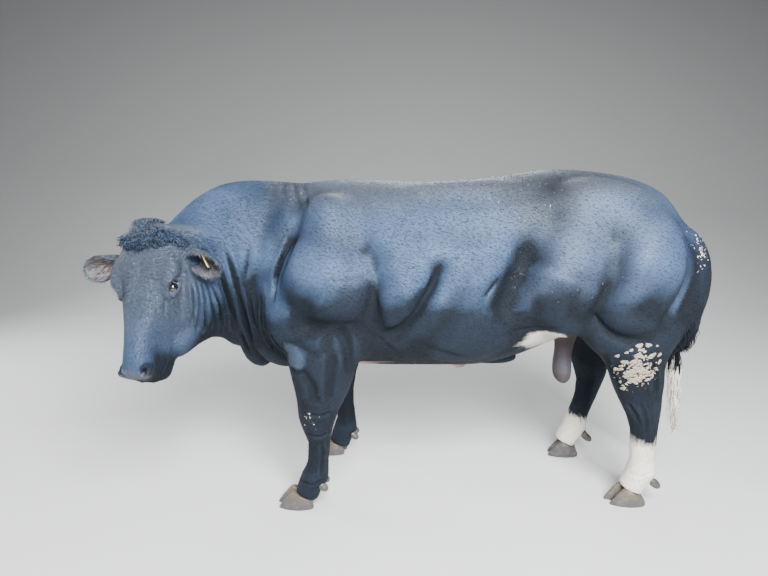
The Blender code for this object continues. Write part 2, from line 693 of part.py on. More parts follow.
# The cut between head and neck runs from behind the poll to behind the jaw.
cut_along = (ALONG * 0.27 - OUT * 0.25).normalized()
cut_normal = LEFT.cross(cut_along).normalized()
if cut_normal.dot(ALONG) < 0:
    cut_normal = -cut_normal
cut_at = on_head(0.085, -0.185, 0)
bm = bmesh.new()
bm.from_mesh(skull.data)
bmesh.ops.bisect_plane(bm, geom=bm.verts[:] + bm.edges[:] + bm.faces[:], plane_co=cut_at - cut_normal * 0.03,
                       plane_no=cut_normal, clear_inner=True)
bmesh.ops.holes_fill(bm, edges=bm.edges)
bm.to_mesh(skull.data)
bm.free()
thinned(skull, HEAD_TRIANGLES, face_detail, 0.0006)
bm = bmesh.new()
bm.from_mesh(skull.data)
bmesh.ops.bisect_plane(bm, geom=bm.verts[:] + bm.edges[:] + bm.faces[:], plane_co=cut_at + cut_normal * GAP,
                       plane_no=cut_normal, clear_inner=True)
bmesh.ops.holes_fill(bm, edges=bm.edges)
bmesh.ops.triangulate(bm, faces=bm.faces)
bm.to_mesh(skull.data)
bm.free()
head_body = largest(skull)
head_body.name = "head"

# Thin plates part the body at the joints a person would name.
boolean(flesh, slab("cut_head", cut_at, cut_normal, LEFT, (1.0, 1.0)), "DIFFERENCE")
boolean(flesh, slab("cut_neck", (-0.478, 0, 0.99), (1, 0, -0.19), (0, 1, 0), (1.2, 0.95)), "DIFFERENCE")
LEG_CUTS = {
    "fore": ((-0.24, 0.285, 0.645), (0.40, 0.36), -0.43, 0.405),
    "hind": ((1.085, 0.275, 0.715), (0.56, 0.40), -0.20, 0.505),
}
for side in SIDES:
    for pair, (at, size, slope, joint_z) in LEG_CUTS.items():
        normal = Vector((0, side * slope, 1))
        boolean(flesh, slab("cut_leg", (at[0], side * at[1], at[2]), normal, (1, 0, 0), size), "DIFFERENCE")
        boolean(flesh, slab("cut_joint", (at[0], side * FOOT_Y, joint_z), (0, 0, 1), (1, 0, 0), (0.5, 0.3)),
                "DIFFERENCE")


# The pieces of flesh get their names from where they lie.
pieces = parted(flesh)
named = {}
for piece in pieces:
    at = middle_of(piece)
    side = "left" if at.y < 0 else "right"
    top = max(v.co.z for v in piece.data.vertices)
    if top > 1.3:
        name = "neck" if at.x < -0.5 else "torso"
    elif at.x < -0.7:
        # The coarse head gives way to the finer one.
        bpy.data.objects.remove(piece, do_unlink=True)
        continue
    else:
        pair = "fore" if at.x < 0.4 else "hind"
        joint_z = LEG_CUTS[pair][3]
        name = f"{'forearm' if pair == 'fore' else 'gaskin'}_{side}" if top > joint_z + 0.02 else f"{pair}_shank_{side}"
    piece.name = name
    named[name] = piece
named["head"] = head_body

# The feet: each shank ends on a sloping line, and two claws carry it.
CLAW_FRONT_Z = 0.078
CLAW_HEEL_Z = 0.046
CLAW_LENGTH = 0.128
CLAW_WIDTH = 0.054


def claw(name, foot_x, step, y, lean):
    """One claw: a wedge with a steep front, a low heel and a flat sole."""
    levels = [
        # share of the height, move of the toe forward, move of the heel back, share of the width
        (0.00, 0.012, 0.010, 0.94),
        (0.10, 0.009, 0.013, 1.00),
        (0.45, -0.014, 0.012, 0.98),
        (0.80, -0.037, 0.004, 0.93),
        (1.00, -0.050, -0.003, 0.88),
    ]
    rings = []
    count = 18
    toe_x = foot_x + step
    for share, toe, heel, width in levels:
        front = toe_x - toe
        back = toe_x + CLAW_LENGTH + heel
        ring = []
        for i in range(count):
            turn = 2 * math.pi * i / count
            c, s = math.cos(turn), math.sin(turn)
            along = (1 - c) / 2
            x = front + (back - front) * along
            taper = 0.60 + 0.40 * min(1.0, along / 0.45)
            half = CLAW_WIDTH / 2 * width * taper
            top_z = CLAW_FRONT_Z + (CLAW_HEEL_Z - CLAW_FRONT_Z) * (x - foot_x - 0.045) / 0.075
            bend = lean * (1 - min(1.0, along / 0.6)) ** 2
            ring.append(Vector((x, y + half * power(s, 0.8) + bend, top_z * share)))
        rings.append(ring)
    return loft(name, rings)


FEET = {
    # toe of the hoof for each foot
    "fore_left": (-0.440, -FOOT_Y),
    "fore_right": (-0.440 + 0.107, FOOT_Y),
    "hind_left": (0.990, -HIND_FOOT_Y),
    "hind_right": (0.990 - 0.130, HIND_FOOT_Y),
}
for foot, (toe_x, foot_y) in FEET.items():
    pair, side = foot.split("_")
    shank = named[f"{pair}_shank_{side}"]
    front_x = toe_x + 0.045
    slope = (CLAW_HEEL_Z - CLAW_FRONT_Z) / 0.075
    at = Vector((front_x, foot_y, CLAW_FRONT_Z + GAP))
    normal = Vector((-slope, 0, 1)).normalized()
    bm = bmesh.new()
    bm.from_mesh(shank.data)
    cut = bmesh.ops.bisect_plane(bm, geom=bm.verts[:] + bm.edges[:] + bm.faces[:], plane_co=at, plane_no=normal,
                                 clear_inner=True)
    bmesh.ops.holes_fill(bm, edges=[e for e in cut["geom_cut"] if isinstance(e, bmesh.types.BMEdge)])
    bmesh.ops.triangulate(bm, faces=bm.faces)
    bm.to_mesh(shank.data)
    bm.free()
    outward = -1 if foot_y < 0 else 1
    for word, step in (("outer", outward), ("inner", -outward)):
        name = f"claw_{foot}_{word}"
        named[name] = claw(name, toe_x, 0.0 if word == "outer" else -0.010, foot_y + step * 0.0285, -step * 0.006)
    # The dewclaws are short cones at the back of the fetlock.
    back_x = toe_x + (0.182 if pair == "fore" else 0.172)
    for word, step in (("outer", outward), ("inner", -outward)):
        name = f"dewclaw_{foot}_{word}"
        base = Vector((back_x - 0.024, foot_y + step * 0.031, 0.124))
        tip = base + Vector((0.042, step * 0.010, -0.036))
        cone = tube(name, [base, base.lerp(tip, 0.5), base.lerp(tip, 0.85), tip], [0.019, 0.020, 0.016, 0.006], 8)
        boolean(cone, grown(shank, GAP), "DIFFERENCE")
        named[name] = largest(cone)


# The scrotum hangs from the groin, broader than it is long.
def scrotum():
    rows = [
        # height, x, half length, half width
        (0.760, 0.835, 0.060, 0.062),
        (0.700, 0.830, 0.055, 0.058),
        (0.645, 0.824, 0.043, 0.050),
        (0.600, 0.820, 0.040, 0.052),
        (0.560, 0.819, 0.043, 0.060),
        (0.520, 0.820, 0.043, 0.062),
        (0.490, 0.822, 0.037, 0.054),
        (0.470, 0.824, 0.022, 0.036),
        (0.463, 0.825, 0.008, 0.014),
    ]
    rings = [oval(Vector((x, 0, z)), Vector((1, 0, 0)), Vector((0, 1, 0)), half_l, half_w, half_w, count=20)
             for z, x, half_l, half_w in rows]
    return loft("scrotum", rings)


pouch = scrotum()
boolean(pouch, grown(named["torso"], GAP), "DIFFERENCE")
named["scrotum"] = largest(pouch)
named["scrotum"].name = "scrotum"

# The tail lies in the cleft between the buttocks and ends above the switch.
TAIL_LINE = [(1.155, 0, 1.275), (1.225, 0, 1.245), (1.290, 0, 1.175), (1.330, 0, 1.075), (1.347, 0, 0.960),
             (1.352, 0, 0.850), (1.345, 0, 0.750), (1.335, 0, 0.655)]
tail_points = blend(TAIL_LINE, 3)
tail_radii = np.interp(range(len(tail_points)), [0, 6, 12, len(tail_points) - 1], [0.050, 0.040, 0.027, 0.019])
tail = tube("tail", tail_points, tail_radii, 11)
boolean(named["torso"], grown(tail, GAP), "DIFFERENCE")
named["torso"] = largest(named["torso"])
named["tail"] = tail

def united(name, core, parts):
    """One closed body out of a core and the closed meshes laid over it."""
    group = bpy.data.collections.new(name)
    for part in parts:
        bpy.context.scene.collection.objects.unlink(part)
        group.objects.link(part)
    apply_modifier(core, "BOOLEAN", operation="UNION", operand_type="COLLECTION", collection=group, solver="EXACT")
    for part in parts:
        bpy.data.objects.remove(part, do_unlink=True)
    bpy.data.collections.remove(group)
    core.name = name
    return largest(core)


def lock(points, width, thick, side, twist=0.0):
    """A flat lock of hair: a strip with a lens section that tapers to a blunt tip."""
    rings = []
    last = len(points) - 1
    for i, point in enumerate(points):
        share = i / last
        ahead = (points[min(i + 1, last)] - points[max(i - 1, 0)]).normalized()
        across = (side - ahead * ahead.dot(side)).normalized()
        across = Matrix.Rotation(twist * share, 3, ahead) @ across
        up = ahead.cross(across)
        half = width * float(np.interp(share, [0, 0.35, 0.75, 1], [0.75, 1.0, 0.75, 0.16]))
        deep = thick * float(np.interp(share, [0, 0.5, 1], [1.0, 0.9, 0.30]))
        rings.append([point + across * half, point + up * deep, point - across * half, point - up * deep])
    return loft("lock", rings)


# The switch is a core over which flat tapered locks hang.
chance = np.random.default_rng(11)
SWITCH_LINE = [(1.335, 0, 0.655), (1.334, -0.003, 0.580), (1.336, -0.008, 0.500), (1.342, -0.012, 0.430)]
switch_points = blend(SWITCH_LINE, 3)
switch = tube("tail_switch", switch_points, np.interp(range(10), [0, 3, 7, 9], [0.022, 0.029, 0.023, 0.012]), 12)
locks = []
for i in range(13):
    level = i / 12
    turn = 2.4 * i + chance.uniform(-0.3, 0.3)
    out_way = Vector((math.cos(turn), math.sin(turn), 0))
    root_z = 0.635 - 0.200 * level
    middle_x = float(np.interp(root_z, [0.43, 0.50, 0.58, 0.655], [1.342, 1.336, 1.334, 1.335]))
    root = Vector((middle_x, -0.006, root_z)) + out_way * 0.014
    length = chance.uniform(0.14, 0.19)
    tip_z = max(0.240, root_z - length - 0.05 * (level > 0.7))
    spread = float(np.interp(tip_z, [0.24, 0.33, 0.45, 0.60], [0.010, 0.014, 0.022, 0.029]))
    tip_x = float(np.interp(tip_z, [0.24, 0.33, 0.45, 0.60], [1.368, 1.362, 1.348, 1.336]))
    tip = Vector((tip_x, -0.018, tip_z)) + Vector((out_way.x, out_way.y * 0.7, 0)) * spread
    shoulder = root.lerp(tip, 0.33) + out_way * 0.011
    belly = root.lerp(tip, 0.70) + out_way * 0.008 + Vector((chance.uniform(-0.006, 0.006), 0, 0))
    side = Vector((-out_way.y, out_way.x, 0))
    locks.append(lock([root, shoulder, belly, tip], chance.uniform(0.014, 0.018), 0.0070, side,
                      chance.uniform(-0.5, 0.5)))
for i in range(3):
    turn = 2.09 * i + 0.4
    out_way = Vector((math.cos(turn), math.sin(turn), 0))
    root = Vector((1.343, -0.010, 0.445)) + out_way * 0.008
    tip = Vector((1.370, -0.020, 0.238 + 0.012 * i)) + out_way * 0.010
    locks.append(lock([root, root.lerp(tip, 0.4) + out_way * 0.014, root.lerp(tip, 0.75) + out_way * 0.008, tip], 0.017, 0.009,
                      Vector((-out_way.y, out_way.x, 0))))
switch = united("tail_switch", switch, locks)
boolean(switch, grown(tail, GAP), "DIFFERENCE")
named["tail_switch"] = largest(switch)


# Ears: cupped leaves whose roots are sunk in the head.
def ear(name, side, axis, facing):
    """A cup that opens along facing and runs out along axis, both in the head's frame."""
    axis = (ALONG * axis[0] + OUT * axis[1] + LEFT * axis[2]).normalized()
    facing = ALONG * facing[0] + OUT * facing[1] + LEFT * facing[2]
    facing = (facing - axis * axis.dot(facing)).normalized()
    across = axis.cross(facing)
    base = on_head(EAR_AT[side][0], EAR_AT[side][1], side * EAR_AT[side][2])
    rows = [
        # share of the length, radius of the cup, half angle of the wall in degrees, wall
        (-0.10, 0.030, 168, 0.014),
        (0.08, 0.030, 158, 0.012),
        (0.22, 0.036, 140, 0.010),
        (0.40, 0.045, 118, 0.009),
        (0.58, 0.050, 98, 0.008),
        (0.75, 0.048, 82, 0.008),
        (0.88, 0.040, 70, 0.007),
        (0.96, 0.028, 64, 0.006),
        (1.01, 0.013, 60, 0.005),
    ]
    rings = []
    for share, radius, half, wall in rows:
        half = math.radians(half)
        centre = base + axis * (EAR_LENGTH * share) + facing * (0.55 * radius)
        outer = []
        inner = []
        for k in range(9):
            turn = -half + 2 * half * k / 8
            way = across * math.sin(turn) - facing * math.cos(turn)
            edge = 1 - 0.45 * abs(turn / half) ** 3
            outer.append(centre + way * radius)
            inner.append(centre + way * (radius - wall * edge))
        rings.append(outer + inner[::-1])
    return loft(name, rings)


for side, word, axis, facing in ((1, "left", (0.50, 0.26, 0.84), (0.68, 0.70, -0.15)),
                                 (-1, "right", (0.26, 0.14, -0.96), (0.45, 0.88, 0.1))):
    cup = ear(f"ear_{word}", side, axis, facing)
    boolean(cup, grown(head_body, GAP), "DIFFERENCE")
    named[f"ear_{word}"] = largest(cup)

# Eyes: balls set in sockets that they are clear of, seen through the slit between the lids.
for side, word in ((1, "left"), (-1, "right")):
    ball = eye_shape(f"eye_{word}", side, (EYE_RADIUS,) * 3, 0.0, 3)
    apply_modifier(ball, "DECIMATE", ratio=0.5)
    # The nostril is a slanting pit in the front of the muzzle, under its wing.
    bm = bmesh.new()
    bmesh.ops.create_icosphere(bm, subdivisions=2, radius=1)
    for vert in bm.verts:
        a, b, c = vert.co
        vert.co = on_head(0.513 + a * 0.013 + b * 0.006, -0.034 + b * 0.016 - c * 0.006,
                          side * (0.048 + c * 0.010 + a * 0.006))
    pit = link("nostril", bm)
    boolean(head_body, pit, "DIFFERENCE")
    boolean(head_body, eye_shape("slit", side, (0.0175, 0.0110, 0.020), EYE_RADIUS * 0.85, 3), "DIFFERENCE")
    boolean(head_body, grown(ball, GAP), "DIFFERENCE")
    named[f"eye_{word}"] = ball
named["head"] = largest(head_body)

# The curly tuft on the poll: rounded clumps set close on a low core, each leaning its own way.
tuft = head_pad((0.002, -0.004, 0.004), (0.034, 0.016, 0.064), "poll_tuft")
apply_modifier(tuft, "DECIMATE", ratio=0.15)
clumps = []
CLUMPS = 26
for i in range(CLUMPS):
    share = (i + 0.5) / CLUMPS
    lean = math.acos(1 - 1.05 * share)
    turn = 2.39996 * i
    along = math.sin(lean) * math.cos(turn)
    left = math.sin(lean) * math.sin(turn)
    out = math.cos(lean)
    at = (0.004 + 0.037 * along, -0.003 + 0.016 * out, 0.006 + 0.068 * left)
    size = chance.uniform(0.018, 0.023)
    clump = bulge("clump", (0, 0, 0), (1, 1, 1))
    bm = bmesh.new()
    bmesh.ops.create_icosphere(bm, subdivisions=2, radius=1)
    spin = Matrix.Rotation(chance.uniform(0, math.pi), 3, "Y") @ Matrix.Rotation(chance.uniform(-0.5, 0.5), 3, "X")
    for vert in bm.verts:
        a, b, c = spin @ Vector((vert.co.x * size * 1.3, vert.co.y * size * 0.8, vert.co.z * size))
        vert.co = on_head(at[0] + a, at[1] + b, at[2] + c)
    bm.to_mesh(clump.data)
    bm.free()
    clumps.append(clump)
# Curls trail from the tuft down behind the left brow.
for i, (along, out, left) in enumerate([(0.004, -0.010, 0.090), (0.010, -0.030, 0.106), (0.018, -0.052, 0.118)]):
    clump = bulge("clump", (0, 0, 0), (1, 1, 1))
    bm = bmesh.new()
    bmesh.ops.create_icosphere(bm, subdivisions=2, radius=1)
    for vert in bm.verts:
        a, b, c = vert.co
        vert.co = on_head(along + a * 0.018, out + b * 0.019, left + c * 0.020)
    bm.to_mesh(clump.data)
    bm.free()
    clumps.append(clump)
tuft = united("poll_tuft", tuft, clumps)
apply_modifier(tuft, "DECIMATE", ratio=0.50)
boolean(tuft, grown(named["head"], GAP), "DIFFERENCE")
boolean(tuft, grown(named["neck"], GAP), "DIFFERENCE")
named["poll_tuft"] = largest(tuft)

# A blank tag on its stud hangs in the left ear's cup.
TAG_SIZE = (0.058, 0.044, 0.0030)


def ear_tag():
    """A thin plate with rounded corners and a round stud, square to the ear."""
    long = Vector((0.42, -0.05, -0.90)).normalized()
    wide = Vector((-0.14, 0.97, -0.12))
    wide = (wide - long * long.dot(wide)).normalized()
    thin = long.cross(wide)
    centre = on_head(EAR_AT[1][0] + 0.050, EAR_AT[1][1] + 0.042, EAR_AT[1][2] + 0.080)
    outline = []
    for sign_a, sign_b in ((1, 1), (-1, 1), (-1, -1), (1, -1)):
        for k in range(4):
            turn = math.atan2(sign_b, sign_a) + math.radians(-45 + 30 * k)
            outline.append((sign_a * (TAG_SIZE[0] / 2 - 0.007) + 0.007 * math.cos(turn),
                            sign_b * (TAG_SIZE[1] / 2 - 0.007) + 0.007 * math.sin(turn)))
    rings = [[centre + long * a + wide * b + thin * c for a, b in outline]
             for c in (-TAG_SIZE[2] / 2, TAG_SIZE[2] / 2)]
    plate = loft("ear_tag", rings)
    knob = centre - long * (TAG_SIZE[0] / 2 - 0.010)
    post = tube("tag_post", [knob - thin * 0.006, knob - thin * 0.004, knob + thin * 0.004, knob + thin * 0.012],
                [0.008, 0.010, 0.010, 0.004], 12)
    boolean(plate, post, "UNION")
    return plate


tag = ear_tag()
boolean(tag, grown(named["ear_left"], GAP), "DIFFERENCE")
named["ear_tag"] = largest(tag)

# Colours, roughness and materials of the pieces.
MATERIALS = {
    "slate_coat": ((0.105, 0.130, 0.180, 1), 0.55),
    "horn": ((0.330, 0.270, 0.210, 1), 0.45),
    "eye": ((0.015, 0.012, 0.012, 1), 0.10),
    "white_hair": ((0.780, 0.730, 0.640, 1), 0.70),
    "ear_skin": ((0.420, 0.330, 0.330, 1), 0.60),
    "groin_skin": ((0.360, 0.330, 0.370, 1), 0.60),
    "tag_plastic": ((0.800, 0.620, 0.240, 1), 0.40),
}


def material_for(name):
    if name.startswith(("claw", "dewclaw")):
        return "horn"
    if name.startswith("eye"):
        return "eye"
    if name.startswith("ear_l") or name.startswith("ear_r"):
        return "ear_skin"
    return {"tail_switch": "white_hair", "scrotum": "groin_skin", "ear_tag": "tag_plastic"}.get(name, "slate_coat")


made = {}
for key, (colour, roughness) in MATERIALS.items():
    material = bpy.data.materials.new(key)
    material.use_nodes = True
    shader = material.node_tree.nodes["Principled BSDF"]
    shader.inputs["Base Color"].default_value = colour
    shader.inputs["Roughness"].default_value = roughness
    made[key] = material
for name, obj in named.items():
    obj.name = name
    obj.data.name = name
    obj.data.materials.clear()
    obj.data.materials.append(made[material_for(name)])

# The origin goes to the middle of the footprint, on the floor.
corners = np.array([v.co[:] for obj in named.values() for v in obj.data.vertices])
middle = (corners.min(axis=0) + corners.max(axis=0)) / 2
shift = Matrix.Translation((-middle[0], -middle[1], 0))
for obj in named.values():
    obj.data.transform(shift)
FRAME_SHIFT = (-float(middle[0]), -float(middle[1]), 0.0)
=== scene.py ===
# A Belgian Blue bull as a life-size still model: slate coat over double muscling, head turned and lowered.
# Metres, +Z up. The bull faces -X and its left side is -Y.
import math

import bmesh
import bpy
import numpy as np
from mathutils import Matrix, Vector
from mathutils.bvhtree import BVHTree


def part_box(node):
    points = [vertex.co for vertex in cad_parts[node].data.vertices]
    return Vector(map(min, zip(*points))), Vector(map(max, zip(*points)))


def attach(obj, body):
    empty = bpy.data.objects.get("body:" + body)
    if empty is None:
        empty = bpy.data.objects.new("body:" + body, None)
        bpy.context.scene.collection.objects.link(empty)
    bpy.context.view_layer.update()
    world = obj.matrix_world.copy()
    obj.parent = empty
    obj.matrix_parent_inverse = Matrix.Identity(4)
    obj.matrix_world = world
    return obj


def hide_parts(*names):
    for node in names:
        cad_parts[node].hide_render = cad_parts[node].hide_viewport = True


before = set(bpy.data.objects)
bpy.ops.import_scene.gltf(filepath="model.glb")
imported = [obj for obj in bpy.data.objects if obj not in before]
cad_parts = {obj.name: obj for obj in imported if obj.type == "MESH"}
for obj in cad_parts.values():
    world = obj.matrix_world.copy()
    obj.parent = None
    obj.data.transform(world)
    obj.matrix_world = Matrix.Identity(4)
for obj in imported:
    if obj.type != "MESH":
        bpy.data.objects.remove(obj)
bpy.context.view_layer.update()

# The head's frame, from the poll: along the face, out of the forehead and to its left.
# It is found again from the left eye's solid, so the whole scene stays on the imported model.
HEAD_YAW, HEAD_DROP, HEAD_ROLL, HEAD_SWING = (math.radians(turn) for turn in (84, 65.5, 8.5, 1.2))
EYE_AT = Vector((0.2, -0.058, 0.103))
EYE_RADIUS = 0.0232
POLL_AT = (-0.893, -0.402)
drop = Matrix.Rotation(-HEAD_DROP, 3, "Y")
yaw = Matrix.Rotation(HEAD_YAW, 3, "Z")
ALONG, OUT, LEFT = (yaw @ (drop @ Vector(axis)) for axis in ((-1, 0, 0), (0, 0, 1), (0, -1, 0)))
roll = Matrix.Rotation(HEAD_ROLL, 3, ALONG)
OUT, LEFT = roll @ OUT, roll @ LEFT
ALONG, LEFT = (ALONG * math.cos(HEAD_SWING) + LEFT * math.sin(HEAD_SWING),
               LEFT * math.cos(HEAD_SWING) - ALONG * math.sin(HEAD_SWING))
low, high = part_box("eye_left")
HEAD_AT = (low + high) / 2 - ALONG * EYE_AT.x - OUT * EYE_AT.y - LEFT * EYE_AT.z
SHIFT = Vector((HEAD_AT.x - POLL_AT[0], HEAD_AT.y - POLL_AT[1], 0))
HEAD_AXES = np.array([ALONG[:], OUT[:], LEFT[:]])
SIDES = (-1, 1)


def on_head(along, out, left):
    return HEAD_AT + ALONG * along + OUT * out + LEFT * left


# The camera stands level with the bull's back, on its left, and looks down by ten degrees.
CAMERA_AT = Vector((0, -2.56, 1.36)) + SHIFT
CAMERA_TILT = math.radians(10)
PHOTO_WIDE, PHOTO_TALL = 768, 576
FOCAL_PIXELS = 577
SENSOR = 36
bpy.ops.object.select_all(action="DESELECT")
bpy.ops.object.camera_add(location=CAMERA_AT, rotation=(math.radians(90) - CAMERA_TILT, 0, 0))
camera = bpy.context.object
camera.name = "camera"
camera.data.sensor_width = SENSOR
camera.data.lens = SENSOR * FOCAL_PIXELS / PHOTO_WIDE
bpy.context.scene.camera = camera

# The skin is one closed surface over the flesh of the trunk, neck, head, legs, tail and scrotum.
# The solids are joined, their seams melt in a fine remesh, and the facets are softened away.
FLESH = ["torso", "neck", "head", "tail", "scrotum", "forearm_left", "forearm_right", "gaskin_left",
         "gaskin_right", "fore_shank_left", "fore_shank_right", "hind_shank_left", "hind_shank_right"]
FILLING = ["eye_left", "eye_right"]
SKIN_VOXEL = 0.0078


def only(*objs):
    bpy.ops.object.select_all(action="DESELECT")
    for obj in objs:
        obj.select_set(True)
    bpy.context.view_layer.objects.active = objs[0]


def applied(obj, kind, **settings):
    modifier = obj.modifiers.new(kind.lower(), kind)
    for key, value in settings.items():
        setattr(modifier, key, value)
    only(obj)
    bpy.ops.object.modifier_apply(modifier=modifier.name)


def linked(name, mesh):
    """A new object of the scene that shows a mesh."""
    obj = bpy.data.objects.new(name, mesh)
    bpy.context.scene.collection.objects.link(obj)
    return obj


def from_bmesh(name, bm):
    mesh = bpy.data.meshes.new(name)
    bm.to_mesh(mesh)
    bm.free()
    return linked(name, mesh)


def copied(name, nodes):
    """One new object out of copies of CAD nodes, with their loose triangles merged."""
    bm = bmesh.new()
    for node in nodes:
        part = bmesh.new()
        part.from_mesh(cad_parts[node].data)
        bmesh.ops.remove_doubles(part, verts=part.verts, dist=1e-5)
        holder = bpy.data.meshes.new("holder")
        part.to_mesh(holder)
        part.free()
        bm.from_mesh(holder)
        bpy.data.meshes.remove(holder)
    return from_bmesh(name, bm)


def points_of(obj, what="co"):
    values = np.empty(len(obj.data.vertices) * 3)
    obj.data.vertices.foreach_get(what, values)
    return values.reshape(-1, 3)


def put_points(obj, points):
    obj.data.vertices.foreach_set("co", points.ravel())
    obj.data.update()


def in_body(points):
    """Points as x, y and z from the middle of the trunk, on the floor."""
    return points[:, 0] - SHIFT.x, points[:, 1] - SHIFT.y, points[:, 2]


def in_head(points):
    """Points given in the head's frame: along, out and left."""
    return (points - np.array(HEAD_AT)) @ HEAD_AXES.T


def around_head(face, wide=0.2, deep=-0.33):
    """Which points lie beside the face and not far below it."""
    return (np.abs(face[:, 2]) < wide) & (face[:, 1] > deep)


def smoothstep(low, high, value):
    t = np.clip((value - low) / (high - low), 0, 1)
    return t * t * (3 - 2 * t)


def weighted(obj, name, weights):
    group = obj.vertex_groups.new(name=name)
    steps = np.round(weights * 20).astype(int)
    for step in range(21):
        chosen = np.where(steps == step)[0].tolist()
        if chosen:
            group.add(chosen, step / 20, "REPLACE")


skin = copied("skin", FLESH + FILLING)
applied(skin, "REMESH", mode="VOXEL", voxel_size=SKIN_VOXEL)
at = points_of(skin)
x, y, z = in_body(at)
face = in_head(at)
legs = 1 - smoothstep(0.5, 0.75, z)
head_share = smoothstep(0.0, 0.08, face[:, 0]) * around_head(face)
tail_share = smoothstep(1.24, 1.28, x) * (np.abs(y) < 0.05)
weighted(skin, "soft", np.clip(1 - 0.8 * legs - 0.75 * head_share - 0.8 * tail_share, 0.15, 1))
applied(skin, "SMOOTH", factor=0.55, iterations=34, vertex_group="soft")


def finer(obj, chosen):
    """Splits the faces round the chosen points once more."""
    only(obj)
    obj.data.polygons.foreach_set("select", np.zeros(len(obj.data.polygons), bool))
    obj.data.edges.foreach_set("select", np.zeros(len(obj.data.edges), bool))
    obj.data.vertices.foreach_set("select", chosen)
    bpy.ops.object.mode_set(mode="EDIT")
    bpy.ops.mesh.select_mode(type="VERT")
    bpy.ops.mesh.subdivide(number_cuts=1, smoothness=0.0)
    bpy.ops.object.mode_set(mode="OBJECT")


def by_eyes(face, reach):
    """Which points in the head's frame are near one of the eyes."""
    gaps = [np.linalg.norm(face - np.array(EYE_AT) * [1, 1, side], axis=1) for side in SIDES]
    return np.minimum(*gaps) < reach


face = in_head(points_of(skin))
finer(skin, (face[:, 0] > -0.03) & around_head(face, 0.17, -0.3))
face = in_head(points_of(skin))
finer(skin, by_eyes(face, 0.055) | ((face[:, 0] > 0.43) & (face[:, 1] > -0.3)))
finer(skin, by_eyes(in_head(points_of(skin)), 0.04))
face = in_head(points_of(skin))
weighted(skin, "face", smoothstep(-0.06, 0.0, face[:, 0]) * around_head(face))
applied(skin, "SMOOTH", factor=0.5, iterations=5, vertex_group="face")


def eased(rows, steps=5):
    """Rows with Catmull-Rom rows between them."""
    rows = np.array(rows, float)
    padded = np.vstack([2 * rows[0] - rows[1], rows, 2 * rows[-1] - rows[-2]])
    out = []
    for i in range(1, len(rows)):
        a, b, c, d = padded[i - 1 : i + 3]
        for t in np.linspace(0, 1, steps, endpoint=False):
            out.append(0.5 * (2 * b + (c - a) * t + (2 * a - 5 * b + 4 * c - d) * t**2
                              + (3 * b - a - 3 * c + d) * t**3))
    out.append(rows[-1])
    return np.array(out)


def by_line(at, line, margin):
    """Which points are near a line, how far off and which way, by which stretch, how far from its ends."""
    low, high = line.min(axis=0) - margin, line.max(axis=0) + margin
    near = np.where(((at > low) & (at < high)).all(axis=1))[0]
    best, share = np.full(len(near), 1e9), np.zeros(len(near))
    away, stretch = np.zeros((len(near), 3)), np.zeros(len(near), int)
    for i, (a, b) in enumerate(zip(line, line[1:])):
        along = b - a
        t = np.clip(((at[near] - a) @ along) / (along @ along + 1e-12), 0, 1)
        offset = at[near] - (a + t[:, None] * along)
        gap = np.linalg.norm(offset, axis=1)
        closer = gap < best
        best[closer], away[closer], stretch[closer] = gap[closer], offset[closer], i
        share[closer] = ((i + t) / (len(line) - 1))[closer]
    return near, best, away, stretch, np.minimum(share, 1 - share)


def pressed(obj, line, width, depth, bank=0.3, fade=0.2):
    """Presses a groove along a line of points, with soft banks, tapering out at both ends."""
    if len(line) < 2:
        return
    line = np.array([p[:] for p in line])
    at = points_of(obj)
    near, best, _, _, ends = by_line(at, line, 4 * width)
    move = -depth * np.exp(-(best / width) ** 2) + bank * depth * np.exp(-((best - 2.1 * width) / width) ** 2)
    at[near] += points_of(obj, "normal")[near] * (move * smoothstep(0, fade, ends))[:, None]
    put_points(obj, at)


def raised(obj, centre, radii, height):
    """Raises a soft mound on the head, or sinks a hollow."""
    at = points_of(obj)
    local = (at - np.array(centre[:])) @ HEAD_AXES.T / np.array(radii)
    amount = height * np.exp(-(local ** 2).sum(axis=1))
    at += points_of(obj, "normal") * amount[:, None]
    put_points(obj, at)


def tree_of(obj):
    return BVHTree.FromObject(obj, bpy.context.evaluated_depsgraph_get())


def first_hits(tree, rays):
    """Where rays, each a start and a way, first meet the skin."""
    hits = [tree.ray_cast(start, way)[0] for start, way in rays]
    return [hit for hit in hits if hit]


def seen(tree, pixels, steps=5):
    """A line drawn over the photograph's frame, laid on the skin that the camera sees there."""
    ahead = Vector((0, math.cos(CAMERA_TILT), -math.sin(CAMERA_TILT)))
    up = Vector((0, math.sin(CAMERA_TILT), math.cos(CAMERA_TILT)))
    right = Vector((1, 0, 0))
    rays = []
    for x, y in eased(pixels, steps):
        across, rise = (x - PHOTO_WIDE / 2) / FOCAL_PIXELS, (PHOTO_TALL / 2 - y) / FOCAL_PIXELS
        rays.append((CAMERA_AT, (ahead + right * across + up * rise).normalized()))
    return first_hits(tree, rays)


def beside(tree, line, side, steps=6):
    """A line drawn in the side view, as x and z, laid on one flank."""
    return first_hits(tree, [(Vector((x + SHIFT.x, side * 1.5 + SHIFT.y, z)), Vector((0, -side, 0)))
                             for x, z in eased(line, steps)])


def oval(across, up, middle, radii):
    """How far out of an upright ellipse places lie: 0 in its middle and 1 on its edge."""
    return ((across - middle[0]) / radii[0]) ** 2 + ((up - middle[1]) / radii[1]) ** 2


